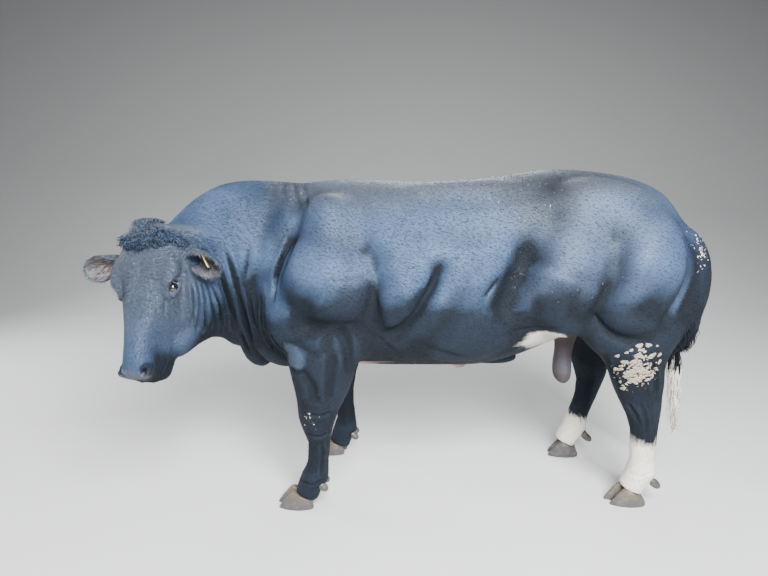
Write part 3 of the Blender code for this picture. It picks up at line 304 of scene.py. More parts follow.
# The muscles' edges are pressed in again on both flanks, narrower than the solids could hold them.
# The shoulder blade and the hip are smoothed first, so that only the new edges show there.
CLEFTS = [
    # side view x and z, width, depth
    ([(-0.335, 1.33), (-0.34, 1.26), (-0.363, 1.175), (-0.395, 1.097), (-0.43, 1.01)], 0.03, 0.007),
    ([(0.6, 1.23), (0.56, 1.11), (0.53, 1.0), (0.5, 0.9), (0.46, 0.82)], 0.08, 0.012),
    ([(-0.06, 1.1), (-0.034, 1.039), (-0.028, 0.961), (-0.048, 0.883)], 0.036, 0.006),
    ([(0.225, 1.09), (0.2, 1.007), (0.158, 0.942), (0.113, 0.87), (0.043, 0.803), (-0.04, 0.78)],
     0.018, 0.014),
    ([(0.548, 1.065), (0.521, 0.987), (0.486, 0.902), (0.455, 0.83)], 0.04, 0.005),
    ([(0.9, 1.14), (0.892, 1.07), (0.879, 0.987), (0.845, 0.89)], 0.04, 0.007),
    ([(1.17, 1.17), (1.184, 1.123), (1.186, 1.032), (1.157, 0.946), (1.111, 0.872), (1.08, 0.8)],
     0.022, 0.012),
    ([(0.82, 0.89), (0.835, 0.863), (0.885, 0.803), (0.953, 0.77), (1.04, 0.76)], 0.014, 0.01),
    ([(0.455, 1.015), (0.42, 0.968), (0.38, 0.92)], 0.007, 0.005),
    ([(0.48, 0.783), (0.555, 0.788), (0.621, 0.799), (0.73, 0.806)], 0.01, 0.007),
    ([(0.1, 0.75), (0.23, 0.708), (0.384, 0.664)], 0.012, 0.004),
    ([(-0.06, 0.79), (0.0, 0.742), (0.06, 0.69)], 0.01, 0.006),
]
x, y, z = in_body(points_of(skin))
blade = oval(x, z, (-0.2, 1.22), (0.17, 0.13))
hip = oval(x, z, (0.74, 1.2), (0.3, 0.15))
weighted(skin, "blade", smoothstep(1.2, 0.5, np.minimum(blade, hip)))
applied(skin, "SMOOTH", factor=0.6, iterations=150, vertex_group="blade")
tree = tree_of(skin)
for side in SIDES:
    for line, width, depth in CLEFTS:
        pressed(skin, beside(tree, line, side), width, depth, 0.1, 0.35)


def swollen(obj, line, way, reach, height):
    """Swells a muscle on one side of a line, so that it hangs over its own edge."""
    if len(line) < 2:
        return
    line = np.array([p[:] for p in line])
    at = points_of(obj)
    near, best, away, stretch, ends = by_line(at, line, 3 * reach)
    along = line[1:] - line[:-1]
    outward = np.array(way) - along * (along @ way / ((along ** 2).sum(axis=1) + 1e-12))[:, None]
    signed = np.sign((away * outward[stretch]).sum(axis=1)) * best
    rise = smoothstep(-0.15 * reach, 0.55 * reach, signed)
    rise = rise * np.exp(-(np.maximum(signed - 0.55 * reach, 0) / reach) ** 2)
    at[near] += points_of(obj, "normal")[near] * (height * rise * smoothstep(0, 0.22, ends))[:, None]
    put_points(obj, at)


SWELLS = [
    # side view x and z of the lower edge, the side that swells, its reach and height
    ([(-0.33, 0.88), (-0.24, 0.845), (-0.14, 0.85), (-0.06, 0.9), (-0.03, 0.99), (-0.05, 1.08)],
     (-0.5, 0, 0.85), 0.14, 0.016),
    ([(0.205, 1.05), (0.165, 0.95), (0.113, 0.872), (0.05, 0.815), (-0.04, 0.785)],
     (-0.75, 0, 0.65), 0.12, 0.022),
    ([(0.6, 1.1), (0.56, 1.0), (0.53, 0.92), (0.5, 0.85)], (1, 0, 0.1), 0.12, 0.012),
    ([(0.7, 0.91), (0.78, 0.85), (0.88, 0.8), (0.96, 0.785), (1.06, 0.8)],
     (-0.2, 0, 1), 0.11, 0.016),
    ([(-0.42, 0.76), (-0.33, 0.735), (-0.25, 0.7)], (0, 0, 1), 0.06, 0.008),
]
tree = tree_of(skin)
for side in SIDES:
    for line, way, reach, height in SWELLS:
        swollen(skin, beside(tree, line, side), way, reach, height)

# The loose skin of the neck hangs in folds behind the jaw, and creases at the withers and the breast.
FOLDS = [
    # pixels of the photograph, width, depth
    ([(213, 252), (219, 269), (224, 286), (230, 305), (234, 322), (237, 338)], 0.0085, 0.013),
    ([(225, 242), (231, 264), (236, 286), (241, 305), (246, 322), (251, 339), (254, 352)], 0.0085, 0.012),
    ([(246, 284), (250, 305), (254, 322), (259, 332)], 0.006, 0.006),
    ([(251, 244), (249, 263), (246, 282)], 0.01, 0.003),
    ([(261, 292), (261, 314), (263, 331), (270, 344), (276, 352)], 0.006, 0.007),
    ([(191, 280), (194, 305), (191, 327)], 0.0055, 0.007),
    ([(196, 278), (198, 300), (197, 335)], 0.005, 0.007),
    ([(201, 279), (204, 299), (205, 322), (201, 338)], 0.0055, 0.008),
    ([(206, 279), (210, 296), (213, 313), (211, 333)], 0.006, 0.008),
    ([(211, 283), (217, 300), (221, 319), (222, 336)], 0.0065, 0.009),
    ([(294, 234), (285, 254), (278, 274), (276, 288), (271, 305)], 0.01, 0.01),
    ([(196, 246), (205, 250), (212, 259), (216, 272)], 0.007, 0.006),
    ([(183, 236), (194, 240), (204, 248)], 0.007, 0.005),
    ([(240, 330), (246, 345), (250, 356)], 0.006, 0.007),
    ([(268, 330), (277, 344), (286, 352)], 0.0055, 0.005),
    ([(280, 176), (284, 186), (286, 200)], 0.01, 0.0022),
    ([(290, 176), (295, 188), (299, 204)], 0.01, 0.0024),
    ([(300, 178), (306, 192), (308, 210)], 0.01, 0.002),
]
tree = tree_of(skin)
for line, width, depth in FOLDS:
    pressed(skin, seen(tree, line), width, depth * 1.6, 0.5, 0.3)

# Tendons, joints and the small folds of the limbs on the near side, and the tendons on the far one.
# On the right side the bent neck is stretched, with a few shallow folds.
LIMB_LINES = [
    # pixels of the photograph, width, depth
    ([(652, 360), (656, 378), (655, 398)], 0.009, 0.008),
    ([(604, 352), (612, 372), (622, 392)], 0.01, 0.005),
    ([(627, 402), (634, 412), (641, 426)], 0.007, 0.005),
    ([(640, 400), (646, 418), (648, 440)], 0.006, 0.004),
    ([(645, 448), (648, 462), (650, 474)], 0.005, 0.003),
    ([(626, 472), (640, 477), (655, 471)], 0.004, 0.003),
    ([(303, 411), (318, 416), (333, 411)], 0.0065, 0.004),
    ([(305, 432), (318, 437), (332, 430)], 0.0055, 0.004),
    ([(322, 440), (323, 458), (321, 476)], 0.0055, 0.005),
    ([(300, 480), (312, 485), (324, 479)], 0.005, 0.004),
    ([(338, 326), (347, 348), (350, 376)], 0.018, 0.008),
    ([(300, 368), (312, 388), (316, 404)], 0.017, 0.006),
    ([(333, 352), (330, 378), (328, 402)], 0.017, 0.006),
    ([(290, 366), (296, 372), (306, 372)], 0.008, 0.004),
]
FAR_TENDONS = [
    # side view x and z, width, depth
    ([(-0.15, 0.36), (-0.152, 0.28), (-0.158, 0.22)], 0.006, 0.005),
    ([(0.985, 0.4), (0.99, 0.32), (0.996, 0.24)], 0.006, 0.005),
    ([(0.935, 0.62), (0.96, 0.53), (0.975, 0.46)], 0.009, 0.008),
]
tree = tree_of(skin)
for line, width, depth in LIMB_LINES:
    pressed(skin, seen(tree, line), width, depth * 1.5, 0.4)
for line, width, depth in FAR_TENDONS:
    pressed(skin, beside(tree, line, 1), width, depth, 0.35)
for i in range(5):
    x = -0.86 + 0.055 * i
    pressed(skin, beside(tree, [(x, 1.08 - 0.02 * (i % 3)), (x + 0.03, 0.97), (x + 0.05, 0.88)], 1),
            0.018, 0.0025, 0.2, 0.45)

# The face: brows, sockets, bridge of the nose, nostrils, lips and the small creases round them.
# The wing of the nostril is thick and rolls round a comma that is deepest at its inner end.
FACE_LINES = [
    # along, out and left in the head's frame, then width, depth and, where they differ, banks and fade
    ([(0.532, -0.044, 0.034), (0.522, -0.032, 0.044), (0.508, -0.03, 0.052), (0.494, -0.036, 0.06)],
     0.0068, 0.017, 0.3, 0.35),
    ([(0.494, -0.036, 0.06), (0.486, -0.046, 0.064), (0.484, -0.06, 0.066)], 0.004, 0.006, 0.2, 0.4),
    # The mouth, with the lips full above and below it.
    ([(0.535, -0.118, 0.004), (0.524, -0.124, 0.03), (0.497, -0.13, 0.054), (0.46, -0.137, 0.066),
      (0.42, -0.145, 0.07), (0.39, -0.15, 0.07)], 0.0042, 0.009, 0.45),
    # Creases at the corner of the mouth, over the eye, below it and behind it.
    ([(0.395, -0.135, 0.07), (0.382, -0.15, 0.071), (0.378, -0.168, 0.07)], 0.004, 0.003),
    ([(0.215, -0.018, 0.09), (0.186, -0.016, 0.112), (0.16, -0.032, 0.124)], 0.0045, 0.0026),
    ([(0.24, -0.036, 0.092), (0.268, -0.05, 0.09), (0.3, -0.062, 0.083)], 0.006, 0.004),
    ([(0.15, -0.06, 0.13), (0.135, -0.085, 0.138), (0.12, -0.11, 0.14)], 0.0055, 0.004),
]


def on_face(line, side=1):
    return [on_head(*row) for row in eased([(along, out, side * left) for along, out, left in line], 5)]


for side in SIDES:
    raised(skin, on_head(0.505, -0.03, side * 0.058), (0.018, 0.018, 0.014), 0.004)
    for line, *shape in FACE_LINES:
        pressed(skin, on_face(line, side), *shape)
# Ripples of the forehead hair and a dent down its middle.
raised(skin, on_head(0.16, 0.015, 0.0), (0.09, 0.03, 0.018), -0.005)
chance = np.random.default_rng(5)
for i in range(44):
    along = chance.uniform(0.055, 0.3)
    reach = chance.uniform(0.02, 0.05)
    start = chance.uniform(-0.085, 0.06) * (1 - 0.8 * max(0, along - 0.2) / 0.3)
    bow = chance.uniform(-0.012, 0.012)
    line = [(along + bow * math.sin(3 * t), 0.012 - 0.25 * abs(start + reach * t) ** 1.3, start + reach * t)
            for t in (0, 0.33, 0.67, 1)]
    pressed(skin, on_face(line), 0.0042, 0.0022, 0.5, 0.4)


# Where the skin lies over an eye it is opened, and the lids are laid round the opening.
def eye_frame(side):
    """An eye's centre, and its axes as rows: ahead, up and out along the gaze."""
    gaze = (LEFT * (side * 0.88) + OUT * 0.42 - ALONG * 0.05).normalized()
    ahead = ALONG * 0.8 + OUT * 0.6
    ahead = (ahead - gaze * gaze.dot(ahead)).normalized()
    up = gaze.cross(ahead)
    if up.dot(OUT - ALONG) < 0:
        up = -up
    return np.array(on_head(EYE_AT.x, EYE_AT.y, side * EYE_AT.z)), np.array([ahead[:], up[:], gaze[:]])


def about_eye(points, side):
    """Points in an eye's frame: ahead, up and out along the gaze, and how far out of the opening they lie."""
    centre, axes = eye_frame(side)
    local = (points - centre) @ axes.T
    tall = np.where(local[:, 1] > 0, 0.015, 0.012)
    level = local[:, 1] + 0.1 * local[:, 0]
    out = (np.abs(local[:, 0]) / 0.0212) ** 1.6 + (np.abs(level) / tall) ** 2.0
    return local, out


for side in SIDES:
    centre, axes = eye_frame(side)
    at = points_of(skin)
    local, out = about_eye(at, side)
    here = (out < 6.5) & (local[:, 2] > -0.005) & (local[:, 2] < 0.05) & (np.abs(local[:, 1]) < 0.03)
    flat = np.minimum(np.hypot(local[:, 0], local[:, 1]), EYE_RADIUS * 0.93)
    ball = np.sqrt(EYE_RADIUS ** 2 - flat ** 2)
    thick = np.where(local[:, 1] > 0, 0.0042, 0.003)
    lid = ball + 0.0006 + thick * smoothstep(0.98, 1.75, out) - 0.0022 * np.exp(-((out - 2.9) / 0.5) ** 2)
    away = smoothstep(2.2, 6.0, out)
    height = lid * (1 - away) + local[:, 2] * away
    height = np.where(out < 1.0, ball - 0.004, height)
    local[here, 2] = height[here]
    at[here] = centre + local[here] @ axes
    put_points(skin, at)

# The skin lies just under the coat, and is thinned to what one piece may hold.
COAT_DEPTH = 0.0012
SKIN_LIMIT = 192000


def smoothed(obj):
    only(obj)
    bpy.ops.object.shade_smooth()


put_points(skin, points_of(skin) - points_of(skin, "normal") * COAT_DEPTH)
smoothed(skin)
applied(skin, "TRIANGULATE")
count = len(skin.data.polygons)
face = in_head(points_of(skin))
weighted(skin, "thin", 1 - 0.9 * smoothstep(-0.1, 0.0, face[:, 0]) * around_head(face))
if count > SKIN_LIMIT:
    applied(skin, "DECIMATE", ratio=SKIN_LIMIT / count, use_collapse_triangulate=True, vertex_group="thin",
            vertex_group_factor=0.001)
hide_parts(*FLESH)
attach(skin, "root")


# Markings: how white, dusty, bare, dark and dirty the coat is at a point, the same for skin and tufts; the
# dark share holds painted shade too.
# The shades lie under the bulges of the shoulder, behind the shoulder blade and in the hollow before the hip.
SHADES = [
    # middle x and z, half width and height, lean, how dark
    (-0.118, 0.925, 0.118, 0.082, 0.3, 1.0),
    (0.125, 0.885, 0.055, 0.1, 0.55, 0.8),
    (0.52, 0.96, 0.08, 0.17, 0.45, 0.42),
    (0.66, 1.27, 0.09, 0.12, 0.3, 0.3),
    (-0.4, 1.12, 0.045, 0.2, -0.25, 0.28),
    (0.89, 1.02, 0.05, 0.18, 0.1, 0.35),
]
# Dried dirt on the outside of the near thigh and hock, on the knee and down the buttock's edge.
DIRT = [
    # middle x and z, half width and height, how much, and how far in from the near flank
    (1.015, 0.62, 0.065, 0.06, 1.0, -0.1),
    (-0.3, 0.425, 0.03, 0.022, 0.7, 1.0),
    (1.275, 1.1, 0.03, 0.07, 0.8, 1.0),
]


def wobble(points, scale, seed):
    """A smooth seeded waviness between about -1 and 1."""
    rng = np.random.default_rng(seed)
    value = np.zeros(len(points))
    for k in range(6):
        way = rng.normal(size=3)
        way /= np.linalg.norm(way)
        value += np.sin(points @ way * scale * rng.uniform(0.6, 1.8) + rng.uniform(0, 6.3)) / 2.6
    return value


def scrotum_at(x, y, z):
    return (np.abs(x - 0.82) < 0.09) & (np.abs(y) < 0.085) & (z < 0.735)


def markings(points, normals=None):
    """How white, dusty, bare, dark and dirty the coat is at each point, with painted shade in the dark share.
    """
    x, y, z = in_body(points)
    face = in_head(points)
    on_face_now = (face[:, 0] > -0.05) & around_head(face, 0.21, -0.34) & (x < -0.6)
    # White socks end in a slant below the hocks.
    sock = np.where(y < 0, 0.286 - 0.12 * (x - 1.06), 0.218 - 0.3 * (x - 0.96))
    sock = sock + 0.003 * wobble(points, 120, 3)
    white = (x > 0.7) * (z < 0.45) * smoothstep(0.005, -0.005, z - sock)
    # A white patch on the fold of the flank, and pale skin between the forelegs.
    patch = oval(x, z, (0.66, 0.735), (0.085, 0.052)) + 0.3 * wobble(points, 60, 4)
    under = (np.abs(y) > 0.02) & (z < 0.8)
    white = np.maximum(white, 0.85 * smoothstep(1.15, 0.85, patch) * under * (z < 0.795 - 0.1 * (x - 0.5)))
    bare = smoothstep(1.2, 0.7, oval(x, z, (-0.1, 0.6), (0.06, 0.03))) * (np.abs(y) < 0.25)
    sheath = oval(x, z, (0.36, 0.565), (0.075, 0.03))
    bare = np.maximum(bare, 0.8 * smoothstep(1.2, 0.6, sheath) * (np.abs(y) < 0.08))
    scrotum = scrotum_at(x, y, z)
    muzzle = smoothstep(0.49, 0.522, face[:, 0] + 0.01 * wobble(points, 70, 5))
    muzzle = muzzle * (face[:, 1] > -0.1) * on_face_now
    bare = np.maximum(bare, 0.02 * muzzle)
    bare = np.maximum(bare, 0.13 * scrotum)
    elbow = oval(x, z + 0.5 * (x + 0.362), (-0.362, 0.697), (0.045, 0.062)) + 0.2 * wobble(points, 60, 9)
    elbow = smoothstep(1.55, 0.35, elbow) * (np.abs(y) > 0.1)
    # Dust and faded hair along the back, the loin and the ribs.
    dust = 0.8 * smoothstep(1.22, 1.42, z + 0.04 * wobble(points, 9, 6)) * (x > -0.5)
    dust = dust + 0.7 * np.exp(-oval(x, z, (0.62, 1.28), (0.16, 0.09)))
    dust = dust + 0.3 * smoothstep(0.2, 1.0, wobble(points, 7, 7)) * (z > 0.9) * (x > -0.4)
    brow = 0.75 * on_face_now * smoothstep(0.5, 0.15, face[:, 0]) * smoothstep(0.19, 0.12, np.abs(face[:, 2]))
    dust = dust + brow * smoothstep(-0.64, -0.72, x) * smoothstep(-0.28, -0.16, face[:, 1])
    dust = np.clip(0.95 * dust + 0.35 * scrotum + 0.3 * elbow + 0.6 * muzzle, 0, 1)
    # Darker towards the bottom: below the middle of the trunk, between the legs, down the limbs and on the
    # lower neck, with darker patches here and there.
    ragged = z + 0.022 * wobble(points, 13, 8)
    dark = 0.97 * smoothstep(0.94, 0.79, ragged) * smoothstep(-0.62, -0.5, x)
    dark = np.maximum(dark, 0.75 * smoothstep(1.02, 0.86, ragged) * (x < -0.48) * ~on_face_now)
    dark = dark + 0.3 * smoothstep(0.2, 1.0, wobble(points, 8, 8))
    # Painted shade under the bulges of the shoulder, in the hollow before the hip and behind the shoulder
    # blade.
    for middle_x, middle_z, wide, tall, lean, much in SHADES:
        shade = oval(x - lean * (z - middle_z), z, (middle_x, middle_z), (wide, tall))
        shade = shade + 0.25 * wobble(points, 30, 12)
        dark = dark + much * smoothstep(1.9, 0.1, shade) * (np.abs(y) > 0.12)
    # Painted shade along the top of the back, which faces away from the light.
    dark = dark + 0.3 * smoothstep(1.3, 1.41, ragged) * (x > -0.45)
    # Painted shade on the back of the haunch.
    dark = dark + 0.65 * smoothstep(1.12, 1.22, x) * smoothstep(1.22, 1.05, z)
    # Painted shade on the lower muzzle and chin, under the jaw and in the nostrils.
    lips = smoothstep(-0.035, -0.085, face[:, 1]) * smoothstep(0.39, 0.46, face[:, 0])
    nostril = oval(face[:, 0], np.abs(face[:, 2]), (0.5, 0.058), (0.026, 0.022))
    below = np.maximum(lips, 0.8 * smoothstep(-0.19, -0.26, face[:, 1]))
    below = np.maximum(below, 0.85 * smoothstep(1.5, 0.5, nostril) * (face[:, 1] > -0.1))
    dark = np.maximum(dark, 0.92 * below * on_face_now)
    # Painted shade on the coat where it faces down, less on the face above the jaw.
    if normals is not None:
        below = 0.95 * smoothstep(0.16, -0.3, normals[:, 2])
        dark = dark + below * (1 - 0.9 * on_face_now * (face[:, 1] > -0.25))
    # Pinkish bare skin on the lower lids, and painted shade in the socket over the upper lids.
    for side in SIDES:
        local, out = about_eye(points, side)
        by_eye = (local[:, 2] > -0.01) & (np.abs(local[:, 0]) < 0.06) & (np.abs(local[:, 1]) < 0.05)
        bare = np.maximum(bare, 0.22 * by_eye * (out > 0.9) * smoothstep(1.5, 1.1, out) * (local[:, 1] < 0))
        dark = np.maximum(dark, 0.9 * by_eye * smoothstep(2.6, 1.2, out) * (local[:, 1] > 0))
    dark = dark * (1 - 0.45 * scrotum) * (1 - 0.8 * elbow)
    dirt = 0
    for middle_x, middle_z, wide, tall, much, inner in DIRT:
        dirt = np.maximum(dirt, much * np.exp(-oval(x, z, (middle_x, middle_z), (wide, tall))) * (y < inner))
    dirt = np.clip((dirt - 0.15) / 0.85, 0, 1)
    return np.stack([white, dust, np.clip(bare, 0, 1), np.clip(dark, 0, 1), dirt], axis=1)


def marked(obj, values):
    """Stores the markings as attributes that the material reads."""
    layer = obj.data.attributes.new("markings", "FLOAT_COLOR", "POINT")
    layer.data.foreach_set("color", np.ascontiguousarray(values[:, :4], np.float32).ravel())
    layer = obj.data.attributes.new("dirt", "FLOAT", "POINT")
    layer.data.foreach_set("value", np.ascontiguousarray(values[:, 4], np.float32))


# Painted shade darkens the folds and painted light lightens the ridges: how far a smoothed copy stands off
# the skin tells where they are.
def twin(obj):
    """A copy of an object with a mesh of its own."""
    made = obj.copy()
    made.data = obj.data.copy()
    bpy.context.scene.collection.objects.link(made)
    return made


smooth_copy = twin(skin)
applied(smooth_copy, "SMOOTH", factor=0.6, iterations=26)
hollow = ((points_of(smooth_copy) - points_of(skin)) * points_of(skin, "normal")).sum(axis=1)
bpy.data.objects.remove(smooth_copy)
skin_marks = markings(points_of(skin), points_of(skin, "normal"))
painted_fold_shade_and_ridge_light = 0.7 * smoothstep(0.0005, 0.007, hollow) - 0.22 * smoothstep(0.0004, 0.004, -hollow)
face = in_head(points_of(skin))
painted_fold_shade_and_ridge_light *= 1 - 0.5 * (face[:, 0] > 0.02) * (face[:, 1] > -0.2) * (np.abs(face[:, 2]) < 0.15)
# Tufts take less light than the smooth skin, which is darkened by as much.
skin_marks[:, 3] = np.clip(skin_marks[:, 3] + painted_fold_shade_and_ridge_light + 0.15, 0, 1)
marked(skin, skin_marks)


def plugged(tree, made, inputs):
    """Links or sets the sockets of a shader node."""
    for key, value in inputs.items():
        if isinstance(value, bpy.types.NodeSocket):
            tree.links.new(value, made.inputs[key])
        else:
            made.inputs[key].default_value = value
    return made


def node(tree, kind, inputs, **settings):
    made = tree.nodes.new(kind)
    for key, value in settings.items():
        setattr(made, key, value)
    return plugged(tree, made, inputs)


def mixed(tree, share, first, second):
    """Two colours mixed by a share."""
    return node(tree, "ShaderNodeMix", {0: share, 6: first, 7: second}, data_type="RGBA").outputs[2]


def maths(tree, operation, first, second=0.0, third=0.0):
    return node(tree, "ShaderNodeMath", {0: first, 1: second, 2: third}, operation=operation).outputs[0]


def times(tree, first, second):
    return maths(tree, "MULTIPLY", first, second)


def noise(tree, place, scale, detail):
    return node(tree, "ShaderNodeTexNoise", {"Vector": place, "Scale": scale, "Detail": detail}).outputs[0]


def stretched(tree, place, scale, detail, turn=(0, 0, 0)):
    """Noise drawn out along one way."""
    place = node(tree, "ShaderNodeMapping", {"Vector": place, "Rotation": turn, "Scale": scale}).outputs[0]
    return noise(tree, place, 1.0, detail)


def ramp(tree, value, stops):
    made = node(tree, "ShaderNodeValToRGB", {"Fac": value})
    elements = made.color_ramp.elements
    while len(elements) < len(stops):
        elements.new(0.5)
    for element, (place, colour) in zip(elements, stops):
        element.position = place
        element.color = colour
    return made.outputs["Color"]


BLACK, WHITE = (0, 0, 0, 1), (1, 1, 1, 1)


def rising(tree, value, low, high):
    """Black below the first place and white above the second."""
    return ramp(tree, value, [(low, BLACK), (high, WHITE)])


def surface(name):
    """A new material, with its node tree and its shader."""
    material = bpy.data.materials.new(name)
    material.use_nodes = True
    return material, material.node_tree, material.node_tree.nodes["Principled BSDF"]


def place_in(tree):
    return node(tree, "ShaderNodeTexCoord", {}).outputs["Object"]


def bumped(tree, shader, height, strength, distance):
    bump = node(tree, "ShaderNodeBump", {"Height": height, "Strength": strength, "Distance": distance})
    tree.links.new(bump.outputs[0], shader.inputs["Normal"])


def coat_material(name, hair=False):
    """Short slate hair: bluish, partly as a painted sheen of reflected light, dusty on top, white on the
    socks, over fine streaks.
    """
    material, tree, shader = surface(name)
    place = place_in(tree)
    marks = node(tree, "ShaderNodeAttribute", {}, attribute_name="markings")
    white, dust, bare = node(tree, "ShaderNodeSeparateColor", {"Color": marks.outputs["Color"]}).outputs[:3]
    dark = marks.outputs["Alpha"]
    patches = noise(tree, place, 7.0, 5.0)
    grain = noise(tree, place, 260.0, 4.0)
    streaks = stretched(tree, place, (60, 250, 310), 3.0, (0, 0.5, 0))
    # The slate's blue is partly the hair's own tone and partly a painted sheen of reflected sky light.
    slate = ramp(tree, patches, [(0.25, (0.026, 0.044, 0.084, 1)), (0.75, (0.058, 0.09, 0.155, 1))])
    dusty = mixed(tree, grain, (0.04, 0.043, 0.048, 1), (0.13, 0.132, 0.135, 1))
    slate = mixed(tree, times(tree, dust, 0.7), slate, dusty)
    # Near black where the markings are dark: darker hair, and painted shade.
    slate = mixed(tree, times(tree, dark, 0.97), slate, (0.0042, 0.0044, 0.0052, 1))
    fleck = rising(tree, noise(tree, place, 95.0, 1.0), 0.72, 0.76)
    slate = mixed(tree, times(tree, times(tree, fleck, dust), 0.6), slate, (0.42, 0.38, 0.33, 1))
    slate = mixed(tree, times(tree, streaks, 0.45), slate, mixed(tree, 0.5, slate, BLACK))
    skin_tone = mixed(tree, grain, (0.33, 0.215, 0.2, 1), (0.52, 0.37, 0.34, 1))
    colour = mixed(tree, bare, slate, skin_tone)
    cream = mixed(tree, patches, (0.62, 0.57, 0.48, 1), (0.78, 0.75, 0.7, 1))
    cream = mixed(tree, times(tree, streaks, 0.35), cream, (0.42, 0.34, 0.24, 1))
    colour = mixed(tree, white, colour, cream)
    dirt = node(tree, "ShaderNodeAttribute", {}, attribute_name="dirt").outputs["Fac"]
    flakes = times(tree, noise(tree, place, 75.0, 3.0), maths(tree, "CEIL", dirt))
    flakes = rising(tree, maths(tree, "MULTIPLY_ADD", dirt, 0.16, flakes), 0.66, 0.69)
    colour = mixed(tree, flakes, colour, (0.52, 0.45, 0.33, 1))
    rough = maths(tree, "MULTIPLY_ADD", streaks, 0.2, 0.42)
    rough = maths(tree, "MAXIMUM", rough, times(tree, dark, 0.8))
    rough = maths(tree, "MAXIMUM", rough, times(tree, white, 0.75))
    plugged(tree, shader, {"Base Color": colour, "Roughness": rough, "Specular IOR Level": 0.27,
                           "Specular Tint": (0.68, 0.82, 1.0, 1)})
    if not hair:
        height = maths(tree, "ADD", times(tree, streaks, 0.7), times(tree, grain, 0.5))
        bumped(tree, shader, height, 0.45, 0.003)
    return material


skin.data.materials.append(coat_material("short slate coat"))


# The eyes are dark brown balls set deep between the lids, wet, with a long level pupil.
def eye_material():
    material, tree, shader = surface("wet brown eye")
    local = node(tree, "ShaderNodeAttribute", {}, attribute_name="gaze").outputs["Vector"]
    split = node(tree, "ShaderNodeSeparateXYZ", {"Vector": local})
    ahead, up = maths(tree, "ADD", split.outputs[0], -0.15), split.outputs[1]
    across = maths(tree, "POWER", maths(tree, "ABSOLUTE", ahead), 2.0)
    tall = maths(tree, "POWER", maths(tree, "ABSOLUTE", up), 2.0)
    far = maths(tree, "SQRT", maths(tree, "ADD", across, tall))
    slot = maths(tree, "SQRT", maths(tree, "ADD", times(tree, across, 4.2), times(tree, tall, 17.0)))
    rays = noise(tree, local, 14.0, 4.0)
    iris = mixed(tree, rays, (0.005, 0.004, 0.004, 1), (0.016, 0.01, 0.008, 1))
    pupil = ramp(tree, slot, [(0.86, WHITE), (0.98, BLACK)])
    iris = mixed(tree, pupil, iris, (0.003, 0.004, 0.009, 1))
    veins = mixed(tree, rays, (0.33, 0.25, 0.22, 1), (0.52, 0.45, 0.41, 1))
    rim = ramp(tree, far, [(0.7, BLACK), (0.79, WHITE), (0.87, BLACK)])
    colour = mixed(tree, rising(tree, far, 0.8, 0.86), iris, veins)
    colour = mixed(tree, times(tree, rim, 0.8), colour, (0.01, 0.007, 0.006, 1))
    plugged(tree, shader, {"Base Color": colour, "Roughness": 0.12, "Coat Weight": 1.0,
                           "Coat Roughness": 0.02})
    return material


wet_eye = eye_material()
for side, word in ((1, "left"), (-1, "right")):
    bpy.ops.object.select_all(action="DESELECT")
    bpy.ops.mesh.primitive_uv_sphere_add(segments=64, ring_count=40, radius=EYE_RADIUS)
    eye = bpy.context.object
    eye.name = f"eyeball_{word}"
    centre, axes = eye_frame(side)
    at = points_of(eye)
    # The sphere's pole looks along the gaze, and the cornea swells a little over the iris.
    local = at / EYE_RADIUS
    at *= 1 + 0.035 * smoothstep(0.7, 0.95, local[:, 2])[:, None]
    put_points(eye, centre + at @ axes)
    if np.linalg.det(axes) < 0:
        only(eye)
        eye.data.flip_normals()
    layer = eye.data.attributes.new("gaze", "FLOAT_VECTOR", "POINT")
    layer.data.foreach_set("vector", local.astype(np.float32).ravel())
    smoothed(eye)
    eye.data.materials.append(wet_eye)
    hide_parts(f"eye_{word}")
    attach(eye, "root")


